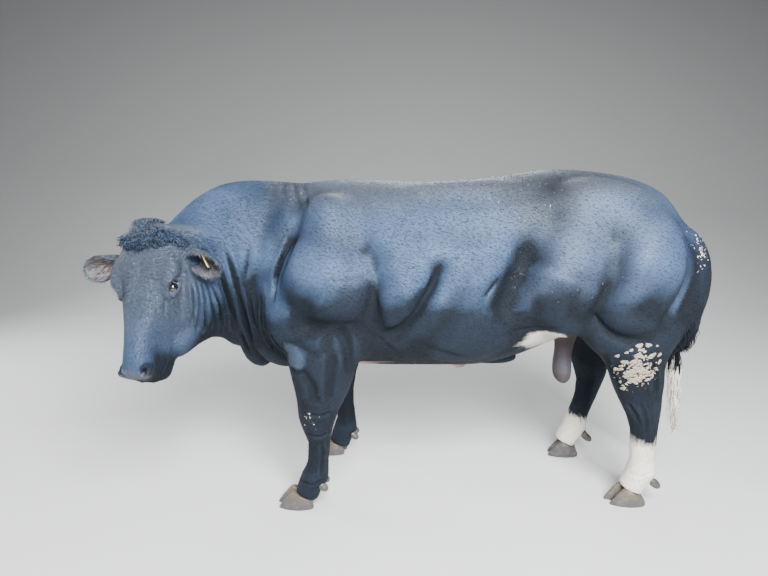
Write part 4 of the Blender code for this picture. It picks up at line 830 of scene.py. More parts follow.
# The ears are cupped leaves of gristle, slate outside and pinkish white within, with hairy rims.
# Their roots are sunk in the head, where the coat runs on from one to the other.
EAR_LENGTH = 0.18
EAR_AT = {1: (0.05, -0.104, 0.147), -1: (0.068, -0.105, 0.134)}
EAR_COLUMNS = 33
EAR_ROWS = [
    # share of the length, radius of the cup, half angle of the wall in degrees, wall
    (-0.1, 0.03, 168, 0.014),
    (0.08, 0.03, 158, 0.011),
    (0.22, 0.036, 140, 0.009),
    (0.4, 0.045, 118, 0.0075),
    (0.58, 0.05, 98, 0.0065),
    (0.75, 0.048, 82, 0.006),
    (0.88, 0.04, 70, 0.0055),
    (0.96, 0.028, 64, 0.005),
    (1.01, 0.01, 58, 0.004),
]
ears = {}
for side, word, axis, facing in ((1, "left", (0.5, 0.26, 0.84), (0.68, 0.7, -0.15)),
                                 (-1, "right", (0.26, 0.14, -0.96), (0.45, 0.88, 0.1))):
    axis = (ALONG * axis[0] + OUT * axis[1] + LEFT * axis[2]).normalized()
    facing = ALONG * facing[0] + OUT * facing[1] + LEFT * facing[2]
    facing = (facing - axis * axis.dot(facing)).normalized()
    across = axis.cross(facing)
    base = on_head(EAR_AT[side][0], EAR_AT[side][1], side * EAR_AT[side][2])
    rows = eased(EAR_ROWS, 6)
    bm = bmesh.new()
    inner_layer = bm.verts.layers.float.new("inner")
    share_layer = bm.verts.layers.float.new("share")
    rings = []
    for share, radius, half, wall in rows:
        half = math.radians(half)
        middle = base + axis * (EAR_LENGTH * share) + facing * (0.55 * radius)
        outer, inner = [], []
        for k in range(EAR_COLUMNS):
            turn = -half + 2 * half * k / (EAR_COLUMNS - 1)
            way = across * math.sin(turn) - facing * math.cos(turn)
            edge = 1 - 0.8 * abs(turn / half) ** 5
            # Ribs of gristle run up the inside, and the rim waves a little.
            rib = 0.0016 * math.cos(9 * turn) * math.sin(math.pi * min(max(share, 0), 1))
            wave = 0.002 * math.sin(17 * share + 2 * side) * abs(turn / half) ** 4
            outer.append((middle + way * (radius + wave), 0.0, share))
            inner.append((middle + way * (radius - wall * edge + rib + wave), 1.0, share))
        ring = []
        for point, within, level in outer + inner[::-1]:
            vert = bm.verts.new(point)
            vert[inner_layer] = within
            vert[share_layer] = level
            ring.append(vert)
        rings.append(ring)
    for near, far in zip(rings, rings[1:]):
        for k in range(len(near)):
            nxt = (k + 1) % len(near)
            bm.faces.new((near[k], near[nxt], far[nxt], far[k]))
    bm.faces.new(rings[0][::-1])
    bm.faces.new(rings[-1])
    bmesh.ops.recalc_face_normals(bm, faces=bm.faces)
    ear = from_bmesh(f"ear_{word}_cup", bm)
    smoothed(ear)
    applied(ear, "SMOOTH", factor=0.4, iterations=2)
    within, level = np.empty((2, len(ear.data.vertices)))
    ear.data.attributes["inner"].data.foreach_get("value", within)
    ear.data.attributes["share"].data.foreach_get("value", level)
    ears[word] = (ear, axis, facing, within, level)


def ear_marks(within, level, pink):
    """Pinkish skin inside, under pale hair towards the rims, with painted shade deep in the cup towards the
    root, and dark hair outside.
    """
    middle = np.sin(np.clip(level, 0, 1) * math.pi)
    bare = pink * within * middle
    # Painted shade inside the cup, darkest towards its root.
    dark = np.where(within > 0.5, 0.85 * (1 - level), 0.3)
    dust = np.where(within > 0.5, 0.8 * level, 0.25)
    return np.stack([0.1 * within * level, dust, bare, dark, 0 * within], axis=1)


short_coat = skin.data.materials[0]
for word, (ear, axis, facing, within, level) in ears.items():
    marked(ear, ear_marks(within, level, 0.15 if word == "left" else 0.75))
    ear.data.materials.append(short_coat)
    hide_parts(f"ear_{word}")
    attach(ear, "root")

# A blank plastic tag, cream yellow, hangs in the left ear on a moulded stud.
# It is a thin bevelled plate, seen nearly edge on by the camera.
TAG_SIZE = (0.058, 0.044, 0.0026)
TAG_CORNER, TAG_RIM = 0.0075, 0.0007
STUD_AT = -0.019
STUD_PARTS = [
    # radius, depth and height over the plate's middle
    (0.0095, 0.004, 0.002),
    (0.0048, 0.01, 0.005),
    (0.01, 0.003, 0.01),
]
tag_long = Vector((0.42, -0.05, -0.9)).normalized()
tag_wide = Vector((-0.14, 0.97, -0.12))
tag_wide = (tag_wide - tag_long * tag_long.dot(tag_wide)).normalized()
tag_thin = tag_long.cross(tag_wide)
tag_at = on_head(EAR_AT[1][0] + 0.05, EAR_AT[1][1] + 0.042, EAR_AT[1][2] + 0.08)
tag_frame = Matrix.Translation(tag_at) @ Matrix((tag_long, tag_wide, tag_thin)).transposed().to_4x4()
bpy.ops.object.select_all(action="DESELECT")
bpy.ops.mesh.primitive_cube_add(size=1)
tag = bpy.context.object
tag.name = "ear_tag_plate"
tag.data.transform(Matrix.Diagonal((*TAG_SIZE, 1)))
bm = bmesh.new()
bm.from_mesh(tag.data)
posts = [edge for edge in bm.edges if abs(edge.verts[0].co.z - edge.verts[1].co.z) > 0.001]
bmesh.ops.bevel(bm, geom=posts, offset=TAG_CORNER, segments=8, affect="EDGES", profile=0.5)
rims = [edge for edge in bm.edges if abs(edge.verts[0].co.z - edge.verts[1].co.z) < 1e-5]
bmesh.ops.bevel(bm, geom=rims, offset=TAG_RIM, segments=2, affect="EDGES", profile=0.5)
bm.to_mesh(tag.data)
bm.free()
for radius, depth, level in STUD_PARTS:
    bpy.ops.object.select_all(action="DESELECT")
    bpy.ops.mesh.primitive_cylinder_add(vertices=40, radius=radius, depth=depth, location=(STUD_AT, 0, level))
    stud = bpy.context.object
    bpy.ops.object.transform_apply(location=True)
    applied(stud, "BEVEL", width=0.0008, segments=2, limit_method="ANGLE")
    only(tag, stud)
    bpy.ops.object.join()
tag.data.transform(tag_frame)
only(tag)
bpy.ops.object.shade_smooth_by_angle(angle=math.radians(40))
plastic, tree, shader = surface("yellowed tag plastic")
stain = noise(tree, place_in(tree), 130.0, 5.0)
grime = ramp(tree, stain, [(0.42, (0.8, 0.66, 0.3, 1)), (0.7, (0.56, 0.4, 0.16, 1))])
plugged(tree, shader, {"Base Color": grime, "Roughness": maths(tree, "MULTIPLY_ADD", stain, 0.3, 0.3),
                       "Subsurface Weight": 0.1, "Subsurface Radius": (0.003, 0.002, 0.001)})
tag.data.materials.clear()
tag.data.materials.append(plastic)
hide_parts("ear_tag")
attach(tag, "root")


# The claws are grey-tan horn, grown down from the coronet in rings, with a bluish worn toe.
# Each is a smoothed copy of its solid, flat below, and the dewclaws sit above them at the back.
def horn_material(name, pale, dark_tone, toe):
    material, tree, shader = surface(name)
    place = place_in(tree)
    split = node(tree, "ShaderNodeSeparateXYZ", {"Vector": place})
    level = maths(tree, "MULTIPLY_ADD", noise(tree, place, 14.0, 2.0), 0.02, split.outputs[2])
    rings = maths(tree, "SINE", times(tree, level, 900.0))
    grain = stretched(tree, place, (260, 260, 18), 4.0)
    dirt = noise(tree, place, 55.0, 6.0)
    colour = mixed(tree, grain, pale, dark_tone)
    low_down = ramp(tree, times(tree, level, 8.0), [(0.22, WHITE), (0.62, BLACK)])
    colour = mixed(tree, times(tree, low_down, 0.6), colour, toe)
    colour = mixed(tree, maths(tree, "MULTIPLY_ADD", rings, 0.15, 0.15), colour, (0.05, 0.045, 0.04, 1))
    colour = mixed(tree, rising(tree, dirt, 0.52, 0.66), colour, (0.12, 0.09, 0.06, 1))
    plugged(tree, shader, {"Base Color": colour, "Roughness": maths(tree, "MULTIPLY_ADD", dirt, 0.4, 0.25)})
    height = maths(tree, "ADD", times(tree, rings, 0.25), times(tree, grain, 0.8))
    bumped(tree, shader, height, 0.45, 0.001)
    return material


tan_horn = horn_material("grey tan horn", (0.165, 0.12, 0.072, 1), (0.055, 0.042, 0.03, 1),
                         (0.036, 0.052, 0.082, 1))
dark_horn = horn_material("dark grey horn", (0.085, 0.075, 0.066, 1), (0.03, 0.028, 0.027, 1),
                          (0.045, 0.05, 0.06, 1))
for foot in ("fore_left", "fore_right", "hind_left", "hind_right"):
    for kind, name in (("claw", "hoof"), ("dewclaw", "dewclaws")):
        names = [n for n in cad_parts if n.startswith(f"{kind}_{foot}")]
        piece = copied(f"{name}_{foot}", names)
        low = points_of(piece)[:, 2].min()
        applied(piece, "SUBSURF", levels=2, render_levels=2)
        at = points_of(piece)
        if kind == "claw":
            # Subdivision draws the sole up a little, so the horn is let down to the floor again.
            at[:, 2] -= (at[:, 2].min() - low) * (1 - smoothstep(0.0, 0.05, at[:, 2]))
        put_points(piece, at)
        smoothed(piece)
        piece.data.materials.append(tan_horn if kind == "claw" and foot != "hind_right" else dark_horn)
        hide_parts(*names)
        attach(piece, "root")


# The curly tuft on the poll hangs over the forehead: a low core under short curled locks of slate hair.
# The core and the tail's are smoothed copies of their solids, drawn in so that the hair covers them.
def drawn_in(name, nodes, voxel, smoothing, depth):
    core = copied(name, nodes)
    applied(core, "REMESH", mode="VOXEL", voxel_size=voxel)
    applied(core, "SMOOTH", factor=0.5, iterations=smoothing)
    put_points(core, points_of(core) - points_of(core, "normal") * depth)
    smoothed(core)
    return core


poll_core = drawn_in("poll_core", ["poll_tuft"], 0.005, 8, 0.008)
tail_core = drawn_in("switch_core", ["tail_switch"], 0.006, 10, 0.012)

# All hair is laid out on one unwrap of the animal's own shape, so each tuft knows its place there.
bpy.ops.object.select_all(action="DESELECT")
shapes = []
for piece, share in ((skin, 0.1), (poll_core, 0.5), (tail_core, 0.5),
                     (ears["left"][0], 0.5), (ears["right"][0], 0.5)):
    shape = twin(piece)
    applied(shape, "DECIMATE", ratio=share)
    shapes.append(shape)
only(*shapes)
bpy.ops.object.join()
unwrap = bpy.context.object
bpy.ops.object.mode_set(mode="EDIT")
bpy.ops.mesh.select_all(action="SELECT")
bpy.ops.mesh.quads_convert_to_tris()
bpy.ops.uv.smart_project(angle_limit=math.radians(66), island_margin=0.002)
bpy.ops.object.mode_set(mode="OBJECT")
unwrap_tree = BVHTree.FromObject(unwrap, bpy.context.evaluated_depsgraph_get())
unwrap_corners = np.empty(len(unwrap.data.loops), int)
unwrap.data.loops.foreach_get("vertex_index", unwrap_corners)
unwrap_points = points_of(unwrap)[unwrap_corners.reshape(-1, 3)]
unwrap_uv = np.empty(len(unwrap.data.loops) * 2)
unwrap.data.uv_layers.active.data.foreach_get("uv", unwrap_uv)
unwrap_uv = unwrap_uv.reshape(-1, 3, 2)
bpy.data.objects.remove(unwrap)


def unwrapped(roots):
    """The place on the unwrap of each root."""
    found = [unwrap_tree.find_nearest(root) for root in roots]
    face = np.array([hit[2] for hit in found])
    at = np.array([hit[0][:] for hit in found])
    a, b, c = (unwrap_points[face, k] for k in range(3))
    whole = np.linalg.norm(np.cross(b - a, c - a), axis=1) + 1e-15
    first = np.linalg.norm(np.cross(b - at, c - at), axis=1) / whole
    second = np.linalg.norm(np.cross(c - at, a - at), axis=1) / whole
    shares = np.stack([first, second, np.clip(1 - first - second, 0, 1)], axis=1)
    return np.clip((unwrap_uv[face] * shares[:, :, None]).sum(axis=1), 0.002, 0.998)


def unit(vectors):
    return vectors / (np.linalg.norm(vectors, axis=-1, keepdims=True) + 1e-12)


def laid_flat(ways, normals):
    """Ways turned to lie along the skin."""
    return unit(ways - normals * (ways * normals).sum(1, keepdims=True))


def strands(name, spines, sides, widths, marks, material, thick=0.4):
    """Closed three-sided locks along their spines, tapering to a point, joined as one mesh."""
    count, rings = widths.shape
    ahead = unit(spines[:, 1:] - spines[:, :-1])
    sides = unit(sides[:, None] - ahead * (ahead * sides[:, None]).sum(-1, keepdims=True))
    ups = np.cross(ahead, sides)
    middle, wide = spines[:, :-1], widths[:, :, None]
    corners = np.stack([middle + sides * wide, middle - sides * wide, middle + ups * wide * thick], axis=2)
    points = np.concatenate([corners.reshape(count, rings * 3, 3), spines[:, -1:]], axis=1)
    faces, places = [(0, 2, 1)], [((0, 0), (0.5, 0.1), (1, 0))]
    for ring in range(rings - 1):
        for k in range(3):
            a, b = ring * 3 + k, ring * 3 + (k + 1) % 3
            u, v, low, high = k / 3, (k + 1) / 3, ring / rings, (ring + 1) / rings
            faces += [(a, b, b + 3), (a, b + 3, a + 3)]
            places += [((u, low), (v, low), (v, high)), ((u, low), (v, high), (u, high))]
    for k in range(3):
        a, b = (rings - 1) * 3 + k, (rings - 1) * 3 + (k + 1) % 3
        faces.append((a, b, rings * 3))
        places.append(((k / 3, (rings - 1) / rings), ((k + 1) / 3, (rings - 1) / rings), ((k + 0.5) / 3, 1)))
    faces = np.array(faces)
    first = points[0][faces]
    outward = np.cross(first[:, 1] - first[:, 0], first[:, 2] - first[:, 0])
    if (outward * (first[:, 0] - points[0].mean(0))).sum() < 0:
        faces = faces[:, ::-1]
        places = [place[::-1] for place in places]
    steps = 3 * rings + 1
    corners = (faces[None] + (np.arange(count) * steps)[:, None, None]).ravel()
    mesh = bpy.data.meshes.new(name)
    mesh.vertices.add(count * steps)
    mesh.vertices.foreach_set("co", points.ravel())
    mesh.loops.add(len(corners))
    mesh.loops.foreach_set("vertex_index", corners)
    mesh.polygons.add(len(corners) // 3)
    mesh.polygons.foreach_set("loop_start", np.arange(0, len(corners), 3))
    mesh.update(calc_edges=True)
    layer = mesh.uv_layers.new(name="OFBake")
    patch = (np.array(places).reshape(-1, 2) - 0.5) * 0.003
    layer.data.foreach_set("uv", (unwrapped(spines[:, 0])[:, None] + patch[None]).ravel())
    obj = linked(name, mesh)
    marked(obj, np.repeat(marks, steps, axis=0))
    mesh.materials.append(material)
    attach(obj, "root")
    return obj


def scattered(obj, count, density, seed, carried=None):
    """Random places on a mesh, with their normals, as dense as the weights of its points ask."""
    mesh = obj.data
    mesh.calc_loop_triangles()
    corners = np.empty(len(mesh.loop_triangles) * 3, int)
    mesh.loop_triangles.foreach_get("vertices", corners)
    corners = corners.reshape(-1, 3)
    at, normals = points_of(obj), points_of(obj, "normal")
    a, b, c = (at[corners[:, k]] for k in range(3))
    weight = np.linalg.norm(np.cross(b - a, c - a), axis=1) * density[corners].mean(axis=1)
    rng = np.random.default_rng(seed)
    steps = (np.arange(count) + rng.random(count)) / count
    chosen = np.minimum(np.searchsorted(np.cumsum(weight / weight.sum()), steps), len(corners) - 1)
    u, v = rng.random(count), rng.random(count)
    over = u + v > 1
    u[over], v[over] = 1 - u[over], 1 - v[over]
    share = np.stack([1 - u - v, u, v], axis=1)[:, :, None]
    picked = corners[chosen]
    places = (at[picked] * share).sum(axis=1), unit((normals[picked] * share).sum(axis=1)), rng
    return places if carried is None else places + ((carried[picked] * share[:, :, 0]).sum(axis=1),)


def curls(name, roots, normals, ways, rng, marks, length, radius, turns, width, rings=9):
    """Locks that wind round their own way as they hang."""
    count = len(roots)
    ways = laid_flat(ways, normals)
    across = np.cross(normals, ways)
    t = np.linspace(0, 1, rings + 1)[None, :, None]
    long = (length * rng.uniform(0.7, 1.25, count))[:, None, None]
    wound = (radius * rng.uniform(0.6, 1.3, count))[:, None, None] * np.minimum(1, 3 * t)
    start = rng.uniform(0, 6.3, count)[:, None, None]
    phase = start + 2 * math.pi * turns * rng.uniform(0.7, 1.3, count)[:, None, None] * t
    lift = (0.006 + 0.5 * wound) * np.sin(math.pi * np.minimum(t * 1.1, 1)) + 0.004 * t
    spines = (roots[:, None] + ways[:, None] * long * t + across[:, None] * wound * np.sin(phase)
              + normals[:, None] * (lift + wound * np.cos(phase) * 0.7))
    spines[:, 0] = roots - normals * 0.002
    shape = np.interp(np.arange(rings) / rings, [0, 0.3, 0.7, 1], [0.9, 1.0, 0.8, 0.35])
    widths = width * rng.uniform(0.7, 1.3, count)[:, None] * shape[None]
    return strands(name, spines, across + 0.3 * normals, widths, marks, hair)


def wool(name, obj, count, density, seed, fall, dust, dark, *shape):
    """Curls over the poll, which fall forward, part to both sides, rise or sink, and stray."""
    roots, normals, rng = scattered(obj, count, density, seed)
    face = in_head(roots)
    forward, lower, apart, rise, stray = fall
    ways = (HEAD_AXES[0] * (forward + lower * face[:, :1]) + HEAD_AXES[2] * face[:, 2:] * apart
            + HEAD_AXES[1] * rise + rng.normal(0, stray, (count, 3)))
    marks = markings(roots)
    marks[:, 1] = rng.uniform(*dust, count)
    marks[:, 3] = rng.uniform(*dark, count)
    marks[:, 4] = 0
    curls(name, roots, normals, ways, rng, marks, *shape)


hair = coat_material("slate hair", hair=True)
poll_core.data.materials.append(short_coat)
marked(poll_core, markings(points_of(poll_core), points_of(poll_core, "normal")))
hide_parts("poll_tuft")
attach(poll_core, "root")
# The curls fall forward over the brow and to both sides, and behind them the crown is woolly too.
wool("poll_curls", poll_core, 1800, np.ones(len(poll_core.data.vertices)), 21, (0.75, 5, 9, -0.25, 0.35),
     (0.0, 0.6), (0.0, 0.6), 0.034, 0.0046, 1.1, 0.0021)
crown = in_head(points_of(skin))
crown = smoothstep(1.2, 0.6, oval(crown[:, 0], crown[:, 1], (-0.01, -0.03), (0.05, 0.06))
                   + (crown[:, 2] / 0.066) ** 2)
# The crown's curls are paler: partly dusty faded hair, partly a painted highlight on top of the head.
wool("poll_crown", skin, 700, crown, 23, (0.5, 0, 7, 0.3, 0.45), (0.3, 1.0), (0.0, 0.5),
     0.019, 0.0034, 1.0, 0.002, 7)

# The tail's switch: long flat wavy locks, black where they leave the tail and dirty white below.
# They hang from the core and from one another, and draw together to a thin tip.
SWITCH_WIDTH = 0.0019


def black_marks(count):
    """Markings of all black hair."""
    marks = np.zeros((count, 5))
    marks[:, 3] = 1.0
    return marks


switch_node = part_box("tail_switch")
tail_core.data.materials.append(short_coat)
core_at = points_of(tail_core)
core_marks = black_marks(len(core_at))
core_marks[:, 0] = 0.75 * smoothstep(0.61, 0.57, core_at[:, 2])
marked(tail_core, core_marks)
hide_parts("tail_switch")
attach(tail_core, "root")
roots, normals, rng = scattered(tail_core, 760, 0.2 + smoothstep(0.35, 0.62, core_at[:, 2]), 22)
count, rings = len(roots), 14
t = np.linspace(0, 1, rings + 1)[None, :, None]
floor_z = switch_node[0].z + 0.002
# The black hairs are short and stand off, and the pale ones are long and draw together.
black = roots[:, 2] + rng.normal(0, 0.012, count) > 0.6
reach = np.where(black, rng.uniform(0.05, 0.13, count), rng.uniform(0.13, 0.29, count))
reach = np.maximum(np.minimum(reach, roots[:, 2] - floor_z - 0.03 * rng.random(count)), 0.03)
gather = np.array([switch_node[0].x * 0.45 + switch_node[1].x * 0.55,
                   (switch_node[0].y + switch_node[1].y) / 2])
level = roots[:, None, 2:] - reach[:, None, None] * t
stray = (rng.random(count) < 0.1)[:, None, None]
pull = np.where(stray, 0.25, 0.88) * smoothstep(0.56, 0.3, level) * t ** 0.8
swell = np.where(black, rng.uniform(0.006, 0.022, count), 0.006)[:, None, None]
flat = roots[:, None, :2] + normals[:, None, :2] * swell * np.sin(math.pi * np.minimum(t * 0.9, 1)) ** 0.7
flat = flat * (1 - pull) + gather[None, None] * pull
wave = (np.where(stray, 0.011, 0.006) * t
        * np.sin(2 * math.pi * (2.0 * t * (reach / 0.18)[:, None, None] + rng.random(count)[:, None, None])))
sway = rng.uniform(0, 6.3, count)[:, None, None]
spines = np.concatenate([flat + wave * np.concatenate([np.cos(sway), np.sin(sway)], axis=2), level], axis=2)
shape = np.interp(np.arange(rings) / rings, [0, 0.4, 0.8, 1], [0.8, 1.0, 0.7, 0.3])
widths = SWITCH_WIDTH * rng.uniform(0.5, 1.4, count)[:, None] * shape[None]
marks = black_marks(count)
marks[:, 0] = np.where(black | (rng.random(count) < 0.03), 0, rng.uniform(0.7, 1.0, count))
sides = np.stack([-normals[:, 1], normals[:, 0], 0.1 * rng.normal(size=count)], axis=1)
locks = strands("switch_locks", spines, sides, widths, marks, hair, 0.45)

# Long black hair stands off the end of the tail and the edge of the thigh above the switch.
x, y, z = in_body(points_of(skin))
fringe = smoothstep(1.2, 0.4, oval(x, z, (1.235, 0.73), (0.06, 0.085))) * (y < 0.03)
roots, normals, rng = scattered(skin, 420, fringe, 24)
ways = np.tile((0.35, -0.1, -1.0), (len(roots), 1)) + rng.normal(0, 0.22, (len(roots), 3)) + 0.25 * normals
marks = black_marks(len(roots))
fringe = curls("thigh_fringe", roots, normals, ways, rng, marks, 0.066, 0.003, 0.8, 0.0013, 7)


# The coat itself: short flat hair in overlapping tufts that follow its lie, over every part of the skin.
# It runs back and down the trunk, down the limbs, and away from a whorl on the forehead.
def lie_of(points):
    x, y, z = in_body(points)
    face = in_head(points)
    way = np.tile((1.0, 0.0, -0.4), (len(points), 1))
    down = smoothstep(0.78, 0.62, z)[:, None]
    way = way * (1 - down) + np.array((0.12, 0.0, -1.0)) * down
    belly = smoothstep(0.74, 0.66, z) * smoothstep(-0.1, 0.05, x) * smoothstep(0.75, 0.6, x)
    belly = (belly * (np.abs(y) < 0.3))[:, None]
    way = way * (1 - belly) + np.array((1.0, 0.0, -0.1)) * belly
    from_head = unit(np.array((-0.4 + SHIFT.x, SHIFT.y, 1.12)) - np.array(HEAD_AT))
    neck = smoothstep(-0.36, -0.52, x)[:, None] * smoothstep(0.62, 0.7, z)[:, None]
    way = way * (1 - neck) + (from_head + np.array((0, 0, -0.35))) * neck
    spread = (face - np.array((0.15, 0.02, 0.0))) @ HEAD_AXES
    on_head_now = smoothstep(-0.02, 0.06, face[:, 0]) * around_head(face, 0.2, -0.32)
    on_head_now = (on_head_now * smoothstep(-0.55, -0.62, x))[:, None]
    return way * (1 - on_head_now) + unit(spread) * on_head_now


def coat(name, where, count, seed, length, width, lift, waver):
    """Flat tufts over the part of the skin that where, a weight for each of its points, picks out."""
    roots, normals, rng, deep = scattered(skin, count, where, seed, painted_fold_shade_and_ridge_light)
    ways = laid_flat(lie_of(roots), normals)
    across = np.cross(normals, ways)
    turn = rng.normal(0, 1, count)[:, None] * waver
    ways = ways * np.cos(turn) + across * np.sin(turn)
    across = np.cross(normals, ways)
    long = (length * rng.uniform(0.65, 1.35, count))[:, None]
    bend = rng.normal(0, 0.12, count)[:, None] * long
    middle = roots + ways * long * 0.45 + normals * (ROOT_DEPTH + lift * long * 0.7) + across * bend
    tips = roots + ways * long + normals * (ROOT_DEPTH + lift * long * rng.uniform(0.5, 1.4, count)[:, None])
    spines = np.stack([roots - normals * ROOT_DEPTH, middle, tips], axis=1)
    widths = width * rng.uniform(0.6, 1.3, count)[:, None] * np.array([[0.75, 1.0]])
    marks = markings(roots, normals)
    marks[:, 1] = np.clip(marks[:, 1] * rng.uniform(0.4, 1.7, count) + rng.normal(0, 0.06, count), 0, 1)
    # The tufts take the painted shade of the folds and the painted light of the ridges from the skin beneath.
    marks[:, 3] = np.clip(marks[:, 3] + deep + rng.normal(0, 0.12, count), 0, 1)
    strands(name, spines, across, widths, marks, hair, 0.35)


ROOT_DEPTH = 0.0006
at = points_of(skin)
x, y, z = in_body(at)
face = in_head(at)
of_head = smoothstep(-0.04, 0.02, face[:, 0]) * around_head(face, 0.22, -0.34) * (x < -0.55)
for side in SIDES:
    local, out = about_eye(at, side)
    of_head = of_head * (1 - (out < 2.0) * (local[:, 2] > -0.01) * (np.abs(local[:, 1]) < 0.04))
bald = smoothstep(0.5, 0.515, face[:, 0]) * (face[:, 1] > -0.1) * of_head
limb = smoothstep(0.72, 0.66, z) * (1 - (np.abs(y) < 0.3) * (x > -0.2) * (x < 0.7) * (z > 0.5))
rest = (1 - (of_head > 0)) * (1 - limb)
of_scrotum = scrotum_at(x, y, z)
# each: weight, count, seed, length, half width, lift of the tips, waver of the lie
coat("coat_face", of_head * (1 - bald) * smoothstep(0.2, 0.28, face[:, 0]), 16500, 31, 0.0085, 0.00065,
     0.09, 0.35)
coat("coat_forehead", of_head * smoothstep(0.34, 0.22, face[:, 0]), 17500, 32, 0.0125, 0.00075, 0.12, 0.6)
coat("coat_neck", rest * (x < -0.4), 17500, 33, 0.012, 0.0008, 0.05, 0.22)
coat("coat_shoulder", rest * (x >= -0.42) * (x < 0.12), 17800, 34, 0.0125, 0.0008, 0.045, 0.22)
coat("coat_ribs", rest * (x >= 0.1) * (x < 0.6), 17800, 35, 0.0125, 0.0008, 0.045, 0.22)
coat("coat_haunch", rest * (x >= 0.58) * (1 - of_scrotum), 17800, 36, 0.0125, 0.0008, 0.05, 0.22)
coat("coat_limbs", limb * (1 - of_scrotum), 16500, 37, 0.0095, 0.00075, 0.07, 0.22)

# Finer hair on the ears: short outside, and long and pale inside the cups and along their rims.
for word, (ear, axis, facing, within, level) in ears.items():
    out_of_root = smoothstep(0.05, 0.2, level)
    roots, normals, rng = scattered(ear, 4200, out_of_root * (0.35 + 0.65 * (within < 0.5)),
                                    41 if word == "left" else 42)
    count = len(roots)
    facing = np.array(facing)
    inside = (normals @ facing > 0.1) | (np.abs(normals @ facing) < 0.35)
    ways = np.tile(np.array(axis), (count, 1)) + rng.normal(0, 0.25, (count, 3))
    ways = ways + facing[None] * (0.6 * inside[:, None])
    ways = unit(ways - normals * (ways * normals).sum(1, keepdims=True) * 0.9)
    long = (np.where(inside, 0.017, 0.01) * rng.uniform(0.6, 1.4, count))[:, None]
    across = unit(np.cross(normals, ways))
    middle = roots + ways * long * 0.5 + normals * long * 0.1
    tips = roots + ways * long + normals * long * 0.06 + np.array((0, 0, -0.12)) * long
    widths = 0.00075 * rng.uniform(0.6, 1.3, count)[:, None] * np.array([[0.8, 1.0]])
    marks = np.zeros((count, 5))
    marks[:, 1] = np.where(inside, rng.uniform(0.5, 1.0, count), 0.3)
    marks[:, 0] = np.where(inside & (rng.random(count) < 0.25), 0.22, 0)
    marks[:, 3] = np.where(inside, 0.15, 0.35)
    spines = np.stack([roots - normals * 0.0008, middle, tips], axis=1)
    strands(f"ear_hair_{word}", spines, across, widths, marks, hair)

# Dried dirt clings to the outside of the left thigh and hock in cream flakes, cracked apart.
# Each flake is a low irregular cake pressed on the coat, and all are one piece.
FLAKES = 74
FLAKE_RISE, FLAKE_SINK = 0.0021, 0.0015
# In pixels of the photograph: the patch's middle, its lean, its right end and half its height.
# SPACING is how many pixels are kept free for each metre of a flake's size.
PATCH_X, PATCH_Y, PATCH_LEAN = 641, 366, 0.45
PATCH_END, PATCH_TALL = 664, 24
SPACING = 112
tree = tree_of(skin)
rng = np.random.default_rng(51)
bm = bmesh.new()
laid = []
for _ in range(900):
    x = rng.normal(PATCH_X - 2, 11.5)
    y = PATCH_Y - PATCH_LEAN * (x - PATCH_X) + rng.normal(0, 8.5)
    size = 0.0055 + 0.01 * rng.random() ** 1.6
    if abs(y - PATCH_Y) > PATCH_TALL or x > PATCH_END:
        continue
    if any(math.hypot(x - a, y - b) < SPACING * (size + other) for a, b, other in laid):
        continue
    spot = seen(tree, [(x, y), (x + 0.5, y)], 1)
    if len(spot) < 2:
        continue
    at, normal, _, _ = tree.find_nearest(spot[0])
    laid.append((x, y, size))
    made = bmesh.ops.create_icosphere(bm, subdivisions=2, radius=1)["verts"]
    turn = Matrix.Rotation(rng.uniform(-0.5, 0.5) + math.radians(25), 3, "Z")
    basis = normal.to_track_quat("Z", "Y").to_matrix()
    ripple = rng.uniform(0, 6.3, 3)
    for vert in made:
        a, b, c = vert.co
        angle = math.atan2(b, a)
        ring = 1 + 0.16 * math.sin(3 * angle + ripple[0]) + 0.1 * math.sin(5 * angle + ripple[1])
        height = (FLAKE_RISE if c > 0 else FLAKE_SINK) * math.copysign(abs(c) ** 0.5, c)
        flat = Vector((a * size * 1.25 * ring, b * size * 0.8 * ring, height))
        vert.co = at + basis @ (turn @ flat) + normal * 0.0012
    if len(laid) == FLAKES:
        break
dirt = from_bmesh("dried_dirt", bm)
smoothed(dirt)
cake, tree, shader = surface("dried cream dirt")
crumbs = noise(tree, place_in(tree), 240.0, 6.0)
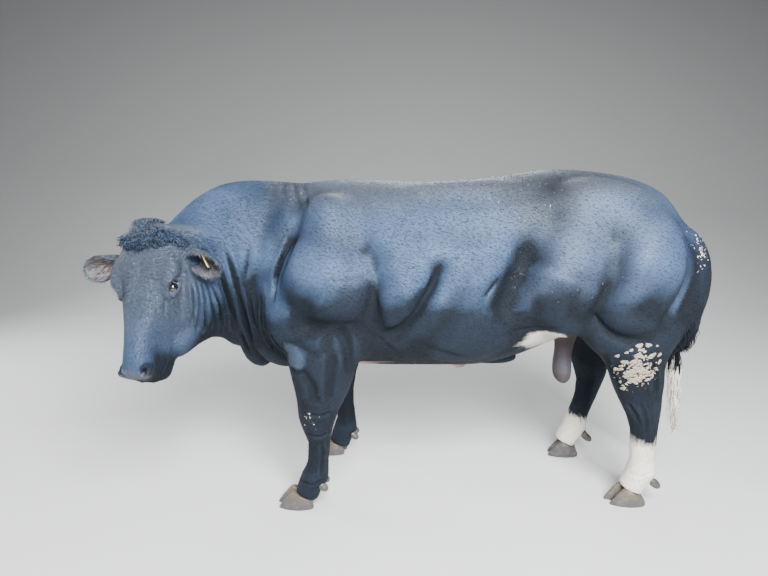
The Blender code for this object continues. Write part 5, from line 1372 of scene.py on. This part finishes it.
tone = ramp(tree, crumbs, [(0.38, (0.13, 0.105, 0.075, 1)), (0.62, (0.44, 0.385, 0.295, 1))])
plugged(tree, shader, {"Base Color": tone, "Roughness": 0.92})
bumped(tree, shader, crumbs, 0.7, 0.0015)
dirt.data.materials.append(cake)
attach(dirt, "root")

# Studio: a pale floor that rises in a curve far behind, a broad soft light before the near flank,
# and weaker ones beside, before and beyond it.
bpy.ops.object.select_all(action="DESELECT")
bpy.ops.mesh.primitive_grid_add(x_subdivisions=8, y_subdivisions=60, size=44, location=(0, 8, 0))
floor = bpy.context.object
floor.name = "floor"
bpy.ops.object.transform_apply(location=True)
at = points_of(floor)
at[:, 2] = 9.0 * smoothstep(2.5, 14.0, at[:, 1]) ** 1.5
put_points(floor, at)
bpy.ops.object.shade_smooth()
paint, tree, shader = surface("floor paint")
plugged(tree, shader, {"Base Color": (0.62, 0.61, 0.59, 1), "Roughness": 0.85})
floor.data.materials.append(paint)
PALE_SKY = (0.93, 0.965, 1.0)
LAMPS = [
    # name, place, aim, size, power, tint
    ("key", (0.9, -3.5, 3.2), (0.0, 0.0, 0.9), 2.2, 980, PALE_SKY),
    ("far side", (0.6, 4.6, 3.9), (0.0, 0.0, 0.8), 2.6, 230, PALE_SKY),
    ("side", (-3.8, -1.6, 2.2), (-0.6, 0.0, 0.9), 1.6, 60, (1.0, 0.98, 0.95)),
    ("front", (-4.2, 1.5, 2.1), (-0.7, 0.1, 0.9), 2.0, 120, PALE_SKY),
]
for name, place, aim, size, power, tint in LAMPS:
    bpy.ops.object.light_add(type="AREA", location=place)
    lamp = bpy.context.object
    lamp.name = name
    lamp.data.size = size
    lamp.data.energy = power
    lamp.data.color = tint
    lamp.rotation_mode = "QUATERNION"
    lamp.rotation_quaternion = (Vector(aim) - Vector(place)).to_track_quat("-Z", "Y")
world = bpy.data.worlds.new("surround")
bpy.context.scene.world = world
world.use_nodes = True
world.node_tree.nodes["Background"].inputs[0].default_value = (0.8, 0.88, 1.0, 1)
world.node_tree.nodes["Background"].inputs[1].default_value = 0.08
